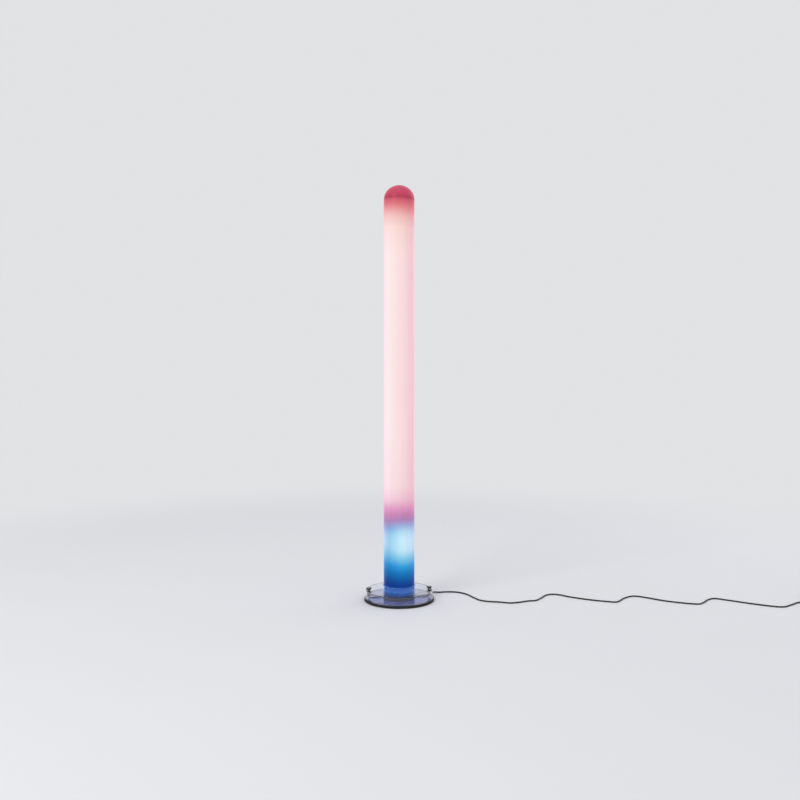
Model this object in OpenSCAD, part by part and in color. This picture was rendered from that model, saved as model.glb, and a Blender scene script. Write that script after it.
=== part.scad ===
/* [Whole lamp] */
// Height from the floor to the top of the dome
lamp_h = 1800; // [1760:5:1950]
// Outer diameter of the opal tube
tube_d = 133; // [128:1:142]
// Wall of the opal tube
tube_wall = 3; // [2:0.5:4]

/* [Dome cap] */
// Height of the dome above its seam
dome_rise = 58.5; // [54:0.5:64]
// Radius of the dome's shoulder, below its flatter crown
dome_shoulder = 50; // [44:1:52]
// How far the dome's rim stands back from the tube's face
dome_inset = 0.6; // [0.2:0.1:1.5]
// Wall of the dome and of its spigot
dome_wall = 3; // [2:0.5:4]
// Length of the spigot inside the tube
spigot_l = 18; // [12:1:26]
// Spring fingers round the spigot
fingers = 6; // [4:1:10]
// Width of the slot between two fingers
finger_slot = 4; // [2:0.5:8]
// Thickness of the rubber ring between tube and dome
gasket_t = 1.2; // [0.8:0.2:2.4]

/* [Foot] */
// Outer diameter of the rubber foot ring
base_d = 303; // [290:1:330]
// Thickness of the clear base plate
plate_t = 10; // [8:1:14]
// Rubber outside the edge of the plate
ring_wall = 4.5; // [3.5:0.5:7]
// Rubber under the plate
ring_lip_t = 3; // [2.5:0.5:5]
// Width of the rubber lip under the plate
ring_lip_w = 6; // [4:0.5:10]
// Radius of the ring's outer edges
ring_edge = 2; // [1:0.5:3]
// Bore of the plate, where the leads rise
plate_bore = 64; // [56:1:70]
// Thickness of the steel disc under the plate
clamp_t = 2.4; // [2:0.1:2.8]

/* [Clear cover] */
// Height of the clear cover above the plate
cover_h = 32; // [29:1:40]
// Wall of the clear cover
cover_wall = 4; // [3:0.5:5]
// How far the cover's side leans in towards its top
cover_lean = 6.5; // [3:0.5:9]
// Radius of the cover's upper edge
cover_edge = 2.5; // [1.5:0.5:3.5]
// Thickness of the cover's foot flange
flange_t = 2.5; // [1.5:0.5:4]
// How far the side of the cover stands in from its flange
flange_step = 1.5; // [1:0.5:3]
// Height of the clear collar round the foot of the tube
collar_h = 22.5; // [16:0.5:30]
// Wall of the clear collar
collar_wall = 4; // [3.5:0.5:6]
// Diameter of the set screws in the collar
set_screw_d = 5; // [4:1:6]

/* [Wiring box] */
// Height of the cast box that carries the tube
box_h = 20; // [18:1:24]
// Wall of the cast box
box_wall = 8; // [6:1:10]
// Thickness of the box's top
box_top = 5; // [4:0.5:7]
// Height of the ring inside the foot of the tube
seat_h = 8; // [5:1:12]
// Wall of that ring
seat_wall = 3; // [2:0.5:4]
// Diameter of the screws that clamp plate and box
clamp_screw_d = 5; // [4:1:6]
// Circle on which the clamp screws stand
clamp_orbit = 50; // [47:1:51]

/* [Controls] */
// Diameter of a knob
knob_d = 24; // [18:0.5:25]
// Height of a knob
knob_h = 9.2; // [8:0.1:12]
// Height of the knob's foot, below its flare
knob_neck_h = 2.6; // [2.2:0.1:3.4]
// Thickness of the knob's fluted head
knob_head_t = 4.6; // [3.5:0.1:5]
// Diameter of a knob where it meets the cover
knob_foot_d = 14; // [13:0.5:16]
// Air between knob and cover
knob_gap = 1.2; // [0.8:0.1:2]
// Distance of the knobs from the cover's upper edge
knob_inset = 11.5; // [11:0.5:14]
// Turn of the pair of knobs about the lamp
knob_turn = 5.5; // [0:0.5:9]
// Grip flutes round a knob
flutes = 30; // [18:2:36]
// Diameter of a knob's spindle
spindle_d = 6; // [5:0.5:6]
// Diameter of a dimmer control
control_d = 13; // [12:0.5:14]
// Height of a dimmer control under the cover
control_h = 21; // [17:1:22]
// Diameter of the control's threaded bush
bush_d = 8; // [8:0.5:9]
// Height of the bush above the cover
bush_h = 2.8; // [2.4:0.1:3.4]

/* [Chassis] */
// Diameter of the three pillars
pillar_d = 8; // [6:1:9]
// Distance of the pillars from the wall of the tube
pillar_inset = 11.5; // [10:0.5:13]
// Height of the room for the dimmer modules
gear_room = 137; // [100:1:150]
// Height of the room for the blue lamp
lamp_room = 157; // [150:1:190]
// Thickness of the decks
deck_t = 3; // [2:0.5:5]
// Width of the square spine
spine_w = 25; // [20:1:28]
// Wall of the spine
spine_wall = 2; // [1.5:0.5:3]
// Height left free between the top deck and the tube's end
head_room = 75; // [40:1:90]

/* [Lamps] */
// Length of a long lamp between its end faces
long_lamp_l = 1199.4; // [1100:0.1:1215]
// Diameter of a long lamp
long_lamp_d = 26; // [24:0.5:28]
// Air between a long lamp and the spine
long_lamp_gap = 6.5; // [4:0.5:8]
// Height of the lampholders of the long lamps
holder_t = 13.7; // [12:0.1:18]
// Distance between the two pins of a long lamp
pin_pitch = 12.7; // [11:0.1:14]
// Diameter of a lamp pin
pin_d = 2.4; // [2:0.1:2.6]
// Diameter of the blue lamp's globe
globe_d = 60; // [50:1:62]
// Height of the blue lamp
blue_lamp_l = 105; // [95:1:115]
// Diameter of the blue lamp's cap
lamp_cap_d = 26; // [22:0.5:27]
// Outer diameter of the blue lamp's holder
socket_d = 38; // [34:0.5:42]
// Height of the blue lamp's holder
socket_h = 45; // [40:1:50]

/* [Mains lead] */
// Diameter of the mains lead
cord_d = 6.2; // [5.6:0.1:6.6]
// Direction in which the mains lead leaves the foot
cord_az = 33; // [28:1:38]
// Height of the mains lead where it leaves the foot
cord_z = 7.5; // [7.2:0.1:8]
// Length of the tapered sleeve outside the foot
sleeve_l = 26; // [20:1:40]
// Turns in the stored coil
coil_turns = 4.2; // [3.2:1:6.2]
// Width of the plug
plug_w = 35; // [30:0.5:38]
// Thickness of the plug
plug_t = 13.7; // [12:0.1:15]
// Length of the plug's body
plug_l = 36; // [30:1:42]

/* [Fits] */
// Air round a piece that drops into place
slip = 0.4; // [0.3:0.05:0.5]
// Air round a turning spindle, a screw or a bush
fit = 0.05; // [0.03:0.01:0.08]

/* [Hidden] */
$fn = 96;
e = 0.01;

// Radii that follow from the sizes above
tube_r = tube_d / 2;
bore_r = tube_r - tube_wall;
base_r = base_d / 2;
plate_r = base_r - ring_wall;
cover_r = base_r - 0.5;
cover_foot_r = cover_r - flange_step;
cover_top_r = cover_foot_r - cover_lean;
collar_in = tube_r + slip;
seat_r = bore_r - slip;
deck_r = bore_r - 0.7;
knob_orbit = cover_top_r - knob_inset;
pillar_orbit = bore_r - pillar_inset;

// Heights that follow from the sizes above
plate_z = ring_lip_t;
plate_top = plate_z + plate_t;
cover_top = plate_top + cover_h;
box_z = plate_top;
box_top_z = box_z + box_h;
box_ceiling = box_top_z - box_top;
dome_z = lamp_h - dome_rise;
tube_end = dome_z - gasket_t;
gear_deck_z = box_top_z + gear_room;
gear_deck_top = gear_deck_z + deck_t;
lamp_deck_z = gear_deck_top + lamp_room;
lamp_deck_top = lamp_deck_z + deck_t;
top_deck_z = tube_end - head_room;
knob_z = cover_top + knob_gap;
control_z = cover_top - cover_wall - control_h;

// Places round the lamp, as angles
pillar_az = [90, 210, 330];
clamp_az = [45, 165, 285];
collar_screw_az = [90, 210, 330];
knob_az = [knob_turn + 180, knob_turn];
module_az = [knob_turn + 165.5, knob_turn + 14.5];

// Sizes of the small parts
screw_head_k = 2;
screw_head_d = 7;
deck_screw_d = 4;
top_screw_d = 5;
top_screw_l = 13;
spine_plug_h = 16;
control_lead_d = 4;
bend_r = 8;
tight_bend_r = 4;
hex_af = 13;
nut_h = 6.5;
nut_t = 2;
bush_nut_af = 10;
dish_r = 60;
dish_t = 0.4;
spindle_floor = 5;
module_deep = 30;
module_wide = 32;
module_h = 80;
module_orbit = 35;
block_l = 30;
block_w = 14;
block_h = box_h - box_top - 3;
block_y = 10;
core_d = 2.2;
core_bend = 3;
rise_r = 25;
flange_foot_r = 29;
socket_deep = 33;
socket_seat = gear_deck_top + socket_h - socket_deep;
pin_l = 7;
lamp_cap_l = 16;
blue_cap_l = 25;
glass_wall = 0.8;
long_lamp_x = spine_w / 2 + long_lamp_gap + long_lamp_d / 2;
upper_holder_top = top_deck_z - 10;
long_lamp_top = upper_holder_top - holder_t;
long_lamp_z = long_lamp_top - long_lamp_l;
spine_foot_h = 24;
spine_flange_t = 4;
ballast_l = 360;
ballast_w = 30;
ballast_deep = 28;
ballast_z = 700;
ballast_tab = 14;
ballast_tab_t = 2;
ballast_screw_z = [ballast_z - ballast_tab / 2, ballast_z + ballast_l + ballast_tab / 2];

// The mains lead: its sleeve, then its way along the floor, chosen by eye
sleeve_in = 5;
sleeve_flange = 2.5;
sleeve_root_d = 10.4;
sleeve_grooves = 5;
sleeve_straight = 9;
sleeve_tip_r = base_r + sleeve_flange + sleeve_l;
cord_r = cord_d / 2;
lead_gap = 0.3;
sleeve_tip = [sleeve_tip_r * cos(cord_az), sleeve_tip_r * sin(cord_az), cord_z];
route = [
    [176, 113], [202, 121], [230, 123], [256, 118], [282, 101], [305, 71], [327, 22],
    [350, -20], [382, -40], [428, -50], [474, -65], [510, -56], [556, -33], [590, -24],
    [618, 14], [648, 64], [680, 80], [712, 68], [750, 34], [820, -10], [890, -40],
    [935, -48], [976, 8], [1013, 42], [1045, 46], [1086, 18], [1160, -40], [1263, -82],
    [1300, -62], [1336, -14], [1374, 8], [1420, -20], [1518, -86], [1606, -128],
    [1660, -98], [1712, -56]
];

// The stored coil: turns that spiral in on the floor and out again on top
coil_at = [1812, 24];
coil_mean = 34.4;
coil_pitch = cord_d + 0.6;
tie_t = 1.2;
coil_z = tie_t + 0.2 + cord_r;
coil_start = -72;
coil_rings = 24;
coil_arc = coil_turns * 360;
coil_out = coil_mean + coil_turns * coil_pitch / 4;
coil_ramp = 30;
coil_lead_in = 8;
tail_l = 40;
tail_rings = 7;
plug_sleeve_l = 24;
plug_z = plug_t / 2;
plug_pin_d = 4;
plug_pin_gap = 18.6;
plug_pin_l = 19;
plug_pin_in = 7.6;
plug_face = plug_sleeve_l + plug_l;

// ---- helpers ----

function unit(v) = v / norm(v);
function smooth(t) = t * t * (3 - 2 * t);

// Point between b and c on the smooth curve through a, b, c and d
function between(a, b, c, d, t) =
    0.5 * ((2 * b) + (c - a) * t + (2 * a - 5 * b + 4 * c - d) * t * t
        + (3 * b - a - 3 * c + d) * t * t * t);

// A curve through every point of p, with the given number of steps from point to point
function through(p, steps) = [
    for (i = [0:len(p) - 2], k = [0:steps - 1])
        between(p[max(i - 1, 0)], p[i], p[i + 1], p[min(i + 2, len(p) - 1)], k / steps),
    p[len(p) - 1]
];

function heading(p, i) = unit(p[min(i + 1, len(p) - 1)] - p[max(i - 1, 0)]);

// One round tube of triangles along the points p
module swept(p, d, sides) {
    n = len(p);
    points = [
        for (i = [0:n - 1])
            let (t = heading(p, i), s = unit(cross([0, 0, 1], t)), u = cross(t, s))
            for (k = [0:sides - 1])
                let (a = (k + 0.5) * 360 / sides) p[i] + d / 2 * (s * cos(a) + u * sin(a))
    ];
    walls = [
        for (i = [0:n - 2], k = [0:sides - 1])
            let (a = i * sides + k, b = i * sides + (k + 1) % sides)
            each [[a, a + sides, b], [b, a + sides, b + sides]]
    ];
    first = [for (k = [1:sides - 2]) [0, k, k + 1]];
    end = (n - 1) * sides;
    last = [for (k = [1:sides - 2]) [end, end + k + 1, end + k]];
    polyhedron(points, concat(walls, first, last), convexity = 10);
}

// A plain ring, turned about the lamp's axis
module ring(r_in, r_out, z0, z1) {
    rotate_extrude() translate([r_in, z0]) square([r_out - r_in, z1 - z0]);
}

// A rectangle whose two outer corners are round
module right_round(w, h, r) {
    square([w - r, h]);
    translate([0, r]) square([w, h - 2 * r]);
    for (y = [r, h - r]) translate([w - r, y]) circle(r);
}

// A rectangle whose four corners are round, about the origin
module round_rect(w, h, r) {
    square([w - 2 * r, h], center = true);
    square([w, h - 2 * r], center = true);
    for (x = [-1, 1], y = [-1, 1]) translate([x * (w / 2 - r), y * (h / 2 - r)]) circle(r);
}

// Half section of a drum that leans in towards its top and has a round upper edge
module drum_outline(r_foot, r_top, z0, z1, r) {
    lean = atan((r_foot - r_top) / (z1 - z0));
    t = r / tan((90 + lean) / 2);
    polygon([
        [0, z0], [r_foot, z0], [r_top + t * sin(lean), z1 - t * cos(lean)],
        [r_top - t, z1 - r], [r_top - t, z1], [0, z1]
    ]);
    translate([r_top - t, z1 - r]) circle(r);
}

// Half section of a dome: a shoulder arc that runs smoothly into a flatter crown arc
module dome_outline(r, h, shoulder) {
    crown = (pow(r - shoulder, 2) + h * h - shoulder * shoulder) / (2 * (h - shoulder));
    out = [r - shoulder, crown - h] / (crown - shoulder);
    meet = [0, h - crown] + crown * out;
    intersection() {
        translate([0, h - crown]) circle(crown, $fn = 180);
        union() {
            translate([r - shoulder, 0]) circle(shoulder, $fn = 180);
            polygon([[0, 0], [r - shoulder, 0], meet, [meet[0], h], [0, h]]);
        }
        square([r, h]);
    }
}

// A lead in the upright plane at angle az: corners are [distance, height], bent with radius r
module lead(az, d, corners, r = bend_r) {
    n = len(corners);
    rotate([0, 0, az]) rotate([90, 0, 0]) {
        for (i = [0:n - 2]) {
            u = unit(corners[i + 1] - corners[i]);
            a = corners[i] + (i > 0 ? r : 0) * u;
            b = corners[i + 1] - (i < n - 2 ? r : 0) * u;
            translate([a[0], a[1], 0]) rotate([0, 0, atan2(u[1], u[0])]) rotate([0, 90, 0])
                cylinder(h = norm(b - a), d = d, $fn = 32);
        }
        for (i = [1:1:n - 2]) {
            u = unit(corners[i] - corners[i - 1]);
            v = unit(corners[i + 1] - corners[i]);
            c = corners[i] - r * u + r * v;
            from = u[0] * v[1] - u[1] * v[0] > 0 ? -v : u;
            translate([c[0], c[1], 0]) rotate([0, 0, atan2(from[1], from[0])])
                rotate_extrude(angle = 90) translate([r, 0]) circle(d = d, $fn = 32);
        }
    }
}

// Copies at the given angles, each at distance r from the axis
module around(angles, r = 0) {
    for (a = angles) rotate([0, 0, a]) translate([r, 0, 0]) children();
}

// Hexagon bar, af across its flats
module hex(af, h) {
    cylinder(h = h, d = af / cos(30), $fn = 6);
}

// ---- foot ----

module foot_ring() {
    color("#15151a") difference() {
        rotate_extrude() difference() {
            translate([plate_r - ring_lip_w, 0])
                right_round(ring_lip_w + ring_wall, plate_top, ring_edge);
            translate([0, ring_lip_t]) square([plate_r + fit, plate_t + e]);
            // two grooves that grip the floor
            for (r = [plate_r - ring_lip_w / 2, plate_r + 1]) translate([r, 0]) circle(0.7, $fn = 24);
        }
        around([cord_az]) translate([plate_r - 1, 0, cord_z]) rotate([0, 90, 0])
            cylinder(h = ring_wall + 2, d = sleeve_neck_d() + 2 * fit);
    }
}

function sleeve_neck_d() = cord_d + 1.4;

module lead_groove() {
    around([cord_az]) translate([plate_bore / 2 - 2, -sleeve_neck_d() / 2 - slip, plate_z - e])
        cube([plate_r, sleeve_neck_d() + 2 * slip, cord_z - plate_z + sleeve_neck_d() / 2 + slip]);
}

module base_plate() {
    color("#dbe4f0", 0.4) difference() {
        rotate_extrude() difference() {
            translate([0, plate_z]) right_round(plate_r, plate_t, 0.6);
            square([plate_bore / 2, 2 * plate_top]);
        }
        lead_groove();
        around(clamp_az, clamp_orbit) translate([0, 0, plate_z - e])
            cylinder(h = plate_t + 1, d = clamp_screw_d + 2 * slip, $fn = 48);
    }
}

module clamp_disc() {
    color("#8a8d92") difference() {
        rotate_extrude() translate([0, plate_z - clamp_t]) right_round(tube_r, clamp_t, 0.4);
        around(clamp_az, clamp_orbit) translate([0, 0, plate_z - clamp_t - e]) {
            cylinder(h = clamp_t + 1, d = clamp_screw_d + 0.4, $fn = 48);
            cylinder(h = clamp_t, d1 = 2 * clamp_screw_d + 0.4, d2 = clamp_screw_d + 0.4, $fn = 48);
        }
    }
}

module clamp_screws() {
    screw_z = plate_z - clamp_t;
    color("#c0c2c6") around(clamp_az, clamp_orbit) difference() {
        union() {
            translate([0, 0, screw_z + 0.2])
                cylinder(h = clamp_t - 0.2, d1 = 2 * clamp_screw_d - 0.3, d2 = clamp_screw_d, $fn = 48);
            translate([0, 0, screw_z + clamp_t - e])
                cylinder(h = plate_t + box_h - box_top, d = clamp_screw_d, $fn = 48);
        }
        translate([0, 0, screw_z]) hex(0.6 * clamp_screw_d, 1.8);
    }
}

module base_cover() {
    color("#cfd8ea", 0.35) difference() {
        rotate_extrude() difference() {
            union() {
                drum_outline(cover_foot_r, cover_top_r, plate_top, cover_top, cover_edge);
                translate([0, plate_top]) square([cover_r - 0.5, flange_t]);
                translate([cover_r - 0.5 * flange_t, plate_top + flange_t / 2])
                    circle(flange_t / 2, $fn = 32);
            }
            drum_outline(cover_foot_r - cover_wall, cover_top_r - cover_wall,
                plate_top - e, cover_top - cover_wall, 1);
            square([collar_in, 2 * cover_top]);
        }
        around(knob_az, knob_orbit) translate([0, 0, cover_top - cover_wall - 1])
            cylinder(h = cover_wall + 2, d = bush_d + 2 * fit, $fn = 48);
    }
}

module tube_collar() {
    edge = 1;
    color("#dfe8f4", 0.4) difference() {
        rotate_extrude() translate([collar_in, cover_top]) {
            square([collar_wall, collar_h - edge]);
            square([collar_wall - edge, collar_h]);
            translate([collar_wall - edge, collar_h - edge]) circle(edge, $fn = 32);
        }
        around(collar_screw_az) translate([tube_r, 0, cover_top + collar_h / 2])
            rotate([0, 90, 0]) cylinder(h = 3 * collar_wall, d = set_screw_d + 2 * fit, $fn = 48);
    }
}

module collar_screws() {
    color("#202024") around(collar_screw_az) translate([tube_r + 0.1, 0, cover_top + collar_h / 2])
        rotate([0, 90, 0]) difference() {
            union() {
                cylinder(h = 1, d1 = set_screw_d - 1.6, d2 = set_screw_d, $fn = 48);
                translate([0, 0, 1 - e])
                    cylinder(h = slip + collar_wall - 0.6, d = set_screw_d, $fn = 48);
            }
            translate([0, 0, slip + collar_wall - 2]) hex(set_screw_d / 2, 3);
        }
}

// ---- wiring box ----

module lead_notch(az) {
    around([az]) translate([tube_r - box_wall - 2, 0, box_z + control_lead_d / 2 + 0.1])
        rotate([0, 90, 0]) {
            cylinder(h = box_wall + 4, d = control_lead_d + 2 * slip, $fn = 32);
            translate([0, -control_lead_d / 2 - slip, 0])
                cube([box_h, control_lead_d + 2 * slip, box_wall + 4]);
        }
}

module wiring_box() {
    color("#121318") difference() {
        union() {
            rotate_extrude() difference() {
                translate([0, box_z]) square([tube_r, box_h]);
                translate([0, box_z - e]) square([tube_r - box_wall, box_h - box_top + e]);
            }
            ring(seat_r - seat_wall, seat_r, box_top_z - e, box_top_z + seat_h);
            around(clamp_az, clamp_orbit) translate([0, 0, box_z])
                cylinder(h = box_h - 1, d = clamp_screw_d + 7);
            // pillar bosses, each with a web that runs into the wall
            around(pillar_az, pillar_orbit) translate([0, 0, box_z]) {
                cylinder(h = box_h - 1, d = pillar_d + 5);
                translate([0, -pillar_d / 2, 0]) cube([pillar_d / 2 + 6, pillar_d, box_h - 1]);
            }
        }
        around(clamp_az, clamp_orbit) translate([0, 0, box_z - e])
            cylinder(h = box_h - box_top + 1, d = clamp_screw_d + 2 * fit, $fn = 48);
        around(pillar_az, pillar_orbit) translate([0, 0, box_z + 3])
            cylinder(h = box_h, d = pillar_d + 2 * fit, $fn = 48);
        for (az = knob_az) {
            lead_notch(az);
            around([az], module_orbit) translate([0, 0, box_ceiling - 1])
                cylinder(h = box_top + 2, d = control_lead_d + 2 * slip, $fn = 32);
        }
        translate([-feed_x(), feed_y(), box_ceiling - 1])
            cylinder(h = box_top + 2, d = control_lead_d + 2 * slip, $fn = 32);
    }
}

function feed_x() = block_l / 2 + bend_r + 2;
function feed_y() = block_y - block_w / 4;
function feed_z() = box_ceiling - block_h / 2;

module terminal_block() {
    color("#e8e6df") translate([0, block_y, box_ceiling - block_h]) difference() {
        union() {
            translate([-block_l / 2, -block_w / 2, 2]) cube([block_l, block_w, block_h - 2]);
            for (x = [-1:1]) translate([x * (block_l / 3), 0, 0])
                linear_extrude(block_h) round_rect(block_l / 3 - 1.4, block_w, 1.5);
        }
        // screw wells of the three poles, then the two mounting holes
        for (x = [-1:1], y = [-1, 1]) translate([x * block_l / 3, y * block_w / 4, -e])
            cylinder(h = 4, d = 4, $fn = 32);
        for (x = [-0.5, 0.5]) translate([x * block_l / 3, 0, 0])
            cylinder(h = 3 * block_h, d = 2.4, center = true, $fn = 24);
        // wire entries
        translate([-block_l / 2 - e, feed_y() - block_y, block_h / 2]) rotate([0, 90, 0])
            cylinder(h = 4, d = control_lead_d + 2 * slip, $fn = 32);
        for (y = core_y()) translate([block_l / 2 - 6, y - block_y, core_z() - box_ceiling + block_h])
            rotate([0, 90, 0]) cylinder(h = 7, d = core_d + 2 * slip, $fn = 24);
    }
}

function rise_x() = rise_r * cos(cord_az);
function core_y() = [rise_r * sin(cord_az) - 1.6, rise_r * sin(cord_az) + 1.6];
function core_z() = box_ceiling - block_h / 2 + 1;

module strain_relief() {
    flange_d = 12;
    root = base_r + sleeve_flange;
    color("#0c0c10") around([cord_az]) translate([0, 0, cord_z]) rotate([0, 90, 0]) difference() {
        union() {
            translate([0, 0, plate_r - sleeve_in])
                cylinder(h = sleeve_in + ring_wall + 1, d = sleeve_neck_d());
            translate([0, 0, base_r + 0.1])
                rotate_extrude() right_round(flange_d / 2, sleeve_flange, 0.8);
            translate([0, 0, root - 0.2])
                cylinder(h = sleeve_l + 0.2, d1 = sleeve_root_d, d2 = cord_d + 1.2);
        }
        // grooves that let the sleeve bend
        for (k = [0:sleeve_grooves - 1])
            translate([0, 0, root + 4 + k * (sleeve_l - 6) / sleeve_grooves]) difference() {
                cylinder(h = 1.4, d = flange_d);
                translate([0, 0, -1]) cylinder(h = 4, d = cord_d + 1 - 0.1 * k);
            }
    }
}

module inner_lead() {
    top = core_z() - core_bend;
    color("#101014") {
        lead(cord_az, cord_d, [[plate_r - sleeve_in, cord_z], [rise_r, cord_z], [rise_r, top]]);
        for (y = core_y()) translate([rise_x(), y, 0]) rotate([90, 0, 0]) {
            translate([0, top - 1, 0]) rotate([-90, 0, 0]) cylinder(h = 1, d = core_d, $fn = 24);
            translate([-core_bend, top, 0]) rotate_extrude(angle = 90)
                translate([core_bend, 0]) circle(d = core_d, $fn = 24);
            translate([-core_bend, top + core_bend, 0]) rotate([0, -90, 0])
                cylinder(h = rise_x() - core_bend - block_l / 2 + 5, d = core_d, $fn = 24);
        }
    }
}

// ---- controls ----

module dimmer_control(az) {
    color("#23262c") around([az], knob_orbit) translate([0, 0, control_z]) difference() {
        union() {
            rotate_extrude() right_round(control_d / 2, control_h, 0.8);
            translate([0, 0, control_h - e]) cylinder(h = cover_wall + bush_h, d = bush_d);
            // solder tags on the side that faces the box
            for (y = [-3, 0, 3]) translate([-control_d / 2 - 3, y - 0.6, 3]) cube([4, 1.2, 4]);
        }
        translate([0, 0, spindle_floor])
            cylinder(h = control_h + cover_wall + bush_h, d = spindle_d + 2 * fit);
    }
}

module dimmer_control_left() dimmer_control(knob_az[0]);
module dimmer_control_right() dimmer_control(knob_az[1]);

module control_nuts() {
    color("#c9cbd0") around(knob_az, knob_orbit) translate([0, 0, cover_top]) difference() {
        hex(bush_nut_af, nut_t);
        translate([0, 0, -e]) cylinder(h = nut_t + 1, d = bush_d + 2 * fit);
    }
}

module control_leads() {
    z = box_z + control_lead_d / 2 + 0.1;
    color("#1a1a20") for (az = knob_az)
        lead(az, control_lead_d, [
            [knob_orbit, control_z], [knob_orbit, z], [module_orbit, z], [module_orbit, box_top_z]
        ], tight_bend_r);
}

module spindle(az) {
    z0 = control_z + spindle_floor + 0.4;
    color("#b9bcc2") around([az], knob_orbit) difference() {
        translate([0, 0, z0]) cylinder(h = knob_z + knob_h - 2 - z0, d = spindle_d);
        // flat that keys the knob
        translate([spindle_d / 2 - 1, -spindle_d, knob_z + 3]) cube([spindle_d, 2 * spindle_d, knob_h]);
    }
}

module spindle_left() spindle(knob_az[0]);
module spindle_right() spindle(knob_az[1]);

module knob(az) {
    skirt = knob_h - knob_head_t;
    color("#17171c") around([az], knob_orbit) translate([0, 0, knob_z]) difference() {
        rotate_extrude() difference() {
            union() {
                polygon([
                    [0, 0], [knob_foot_d / 2, 0], [knob_foot_d / 2, knob_neck_h],
                    [knob_d / 2 - 0.6, skirt], [0, skirt]
                ]);
                translate([0, skirt]) right_round(knob_d / 2, knob_head_t, 0.9);
            }
            square([bush_nut_af / 2 / cos(30) + 0.25, bush_h - knob_gap + 0.6]);
            translate([0, knob_h + dish_r - dish_t]) circle(dish_r, $fn = 180);
        }
        // bore with the flat of the spindle
        difference() {
            translate([0, 0, -e]) cylinder(h = knob_h - 2 + 0.2, d = spindle_d + 2 * fit);
            translate([spindle_d / 2 - 1 + fit, -spindle_d, 3.1]) cube([spindle_d, 2 * spindle_d, knob_h]);
        }
        for (k = [0:flutes - 1]) rotate([0, 0, k * 360 / flutes])
            translate([knob_d / 2 + 0.45, 0, skirt - 1]) cylinder(h = knob_h, d = 1.6, $fn = 16);
        translate([knob_d / 2 - 5, -0.5, knob_h - 0.9]) cube([3.4, 1, 2]);
    }
}

module knob_left() knob(knob_az[0]);
module knob_right() knob(knob_az[1]);

// ---- gear inside the foot of the tube ----

module dimmer_module(az) {
    color("#d9dadd") around([az], module_orbit) translate([0, 0, box_top_z]) difference() {
        linear_extrude(module_h) round_rect(module_deep, module_wide, 2.5);
        // cooling slots in the face that looks at the tube's wall
        for (k = [0:5]) translate([module_deep / 2 - 1.5, -10, 18 + k * 9]) cube([3, 20, 3]);
        translate([0, 0, module_h - 4]) cylinder(h = 5, d = control_lead_d + 2 * slip, $fn = 32);
    }
}

module dimmer_module_left() dimmer_module(module_az[0]);
module dimmer_module_right() dimmer_module(module_az[1]);

module gear_leads() {
    module_top = box_top_z + module_h - 3.6;
    turn_z = gear_deck_z - bend_r - 4;
    link_l = 2 * module_orbit - module_deep - 2.3;
    color("#1a1a20") {
        // from the terminal block up into the left module
        translate([0, feed_y(), 0])
            lead(180, control_lead_d, [[block_l / 2 - 3.6, feed_z()], [feed_x(), feed_z()],
                [feed_x(), box_top_z]]);
        // between the two modules, a third of the way up
        translate([-link_l / 2, 4, box_top_z + module_h / 3]) rotate([0, 90, 0])
            cylinder(h = link_l, d = control_lead_d, $fn = 32);
        // from the right module to the blue lamp's holder
        lead(module_az[1], control_lead_d, [[module_orbit, module_top], [module_orbit, turn_z],
            [0, turn_z], [0, gear_deck_top + 3.6]]);
    }
}

module lamp_loom() {
    color("#1a1a20") lead(module_az[0], control_lead_d, [
        [module_orbit, box_top_z + module_h - 3.6], [module_orbit, loom_z()], [spine_w / 2 - 3, loom_z()]
    ]);
}

function loom_z() = lamp_deck_top + spine_foot_h + 14;

module pillars() {
    color("#b4b7bd") around(pillar_az, pillar_orbit) translate([0, 0, box_z + 3.4])
        cylinder(h = lamp_deck_top + nut_h + 3 - box_z - 3.4, d = pillar_d, $fn = 48);
}

module pillar_nuts() {
    color("#c9cbd0") around(pillar_az, pillar_orbit)
        for (z = [box_top_z, gear_deck_z - nut_h, gear_deck_top, lamp_deck_z - nut_h, lamp_deck_top])
            translate([0, 0, z]) difference() {
                hex(hex_af, nut_h);
                translate([0, 0, -e]) cylinder(h = nut_h + 1, d = pillar_d + 2 * fit, $fn = 48);
            }
}

// A deck that centres the chassis in the tube
module deck(z) {
    translate([0, 0, z]) difference() {
        rotate_extrude() right_round(deck_r, deck_t, 0.5);
        around(pillar_az, pillar_orbit) translate([0, 0, -e])
            cylinder(h = deck_t + 1, d = pillar_d + 2 * fit, $fn = 48);
        around([module_az[0]], module_orbit) translate([0, 0, -e])
            cylinder(h = deck_t + 1, d = control_lead_d + 2 * slip, $fn = 32);
    }
}

module gear_deck() {
    color("#c4c7cc") difference() {
        deck(gear_deck_z);
        translate([0, 0, gear_deck_z - 1]) cylinder(h = deck_t + 2, d = control_lead_d + 2 * slip);
        // air holes under the lamp
        around([30, 150, 270], deck_r - 16) translate([0, 0, gear_deck_z - 1])
            cylinder(h = deck_t + 2, d = 12);
    }
}

module lamp_deck() {
    color("#e9f0f6", 0.6) deck(lamp_deck_z);
}

// ---- blue lamp ----

module blue_lampholder() {
    color("#efefec") translate([0, 0, gear_deck_top]) difference() {
        rotate_extrude() difference() {
            union() {
                square([socket_d / 2 + 3, 3]);
                square([socket_d / 2 - 2, socket_h]);
                translate([0, socket_h - 16]) right_round(socket_d / 2, 16, 1.5);
                translate([0, 3]) polygon([[0, 0], [socket_d / 2, 0], [socket_d / 2 - 2, 8], [0, 8]]);
            }
            translate([0, socket_h - socket_deep]) square([lamp_cap_d / 2 + slip, socket_deep + 1]);
            square([control_lead_d / 2 + slip, 4.4]);
        }
        // grip slots round the skirt
        for (a = [0:30:330]) rotate([0, 0, a]) translate([socket_d / 2, 0, socket_h - 14])
            cylinder(h = 11, d = 1.6, $fn = 16);
    }
}

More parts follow.
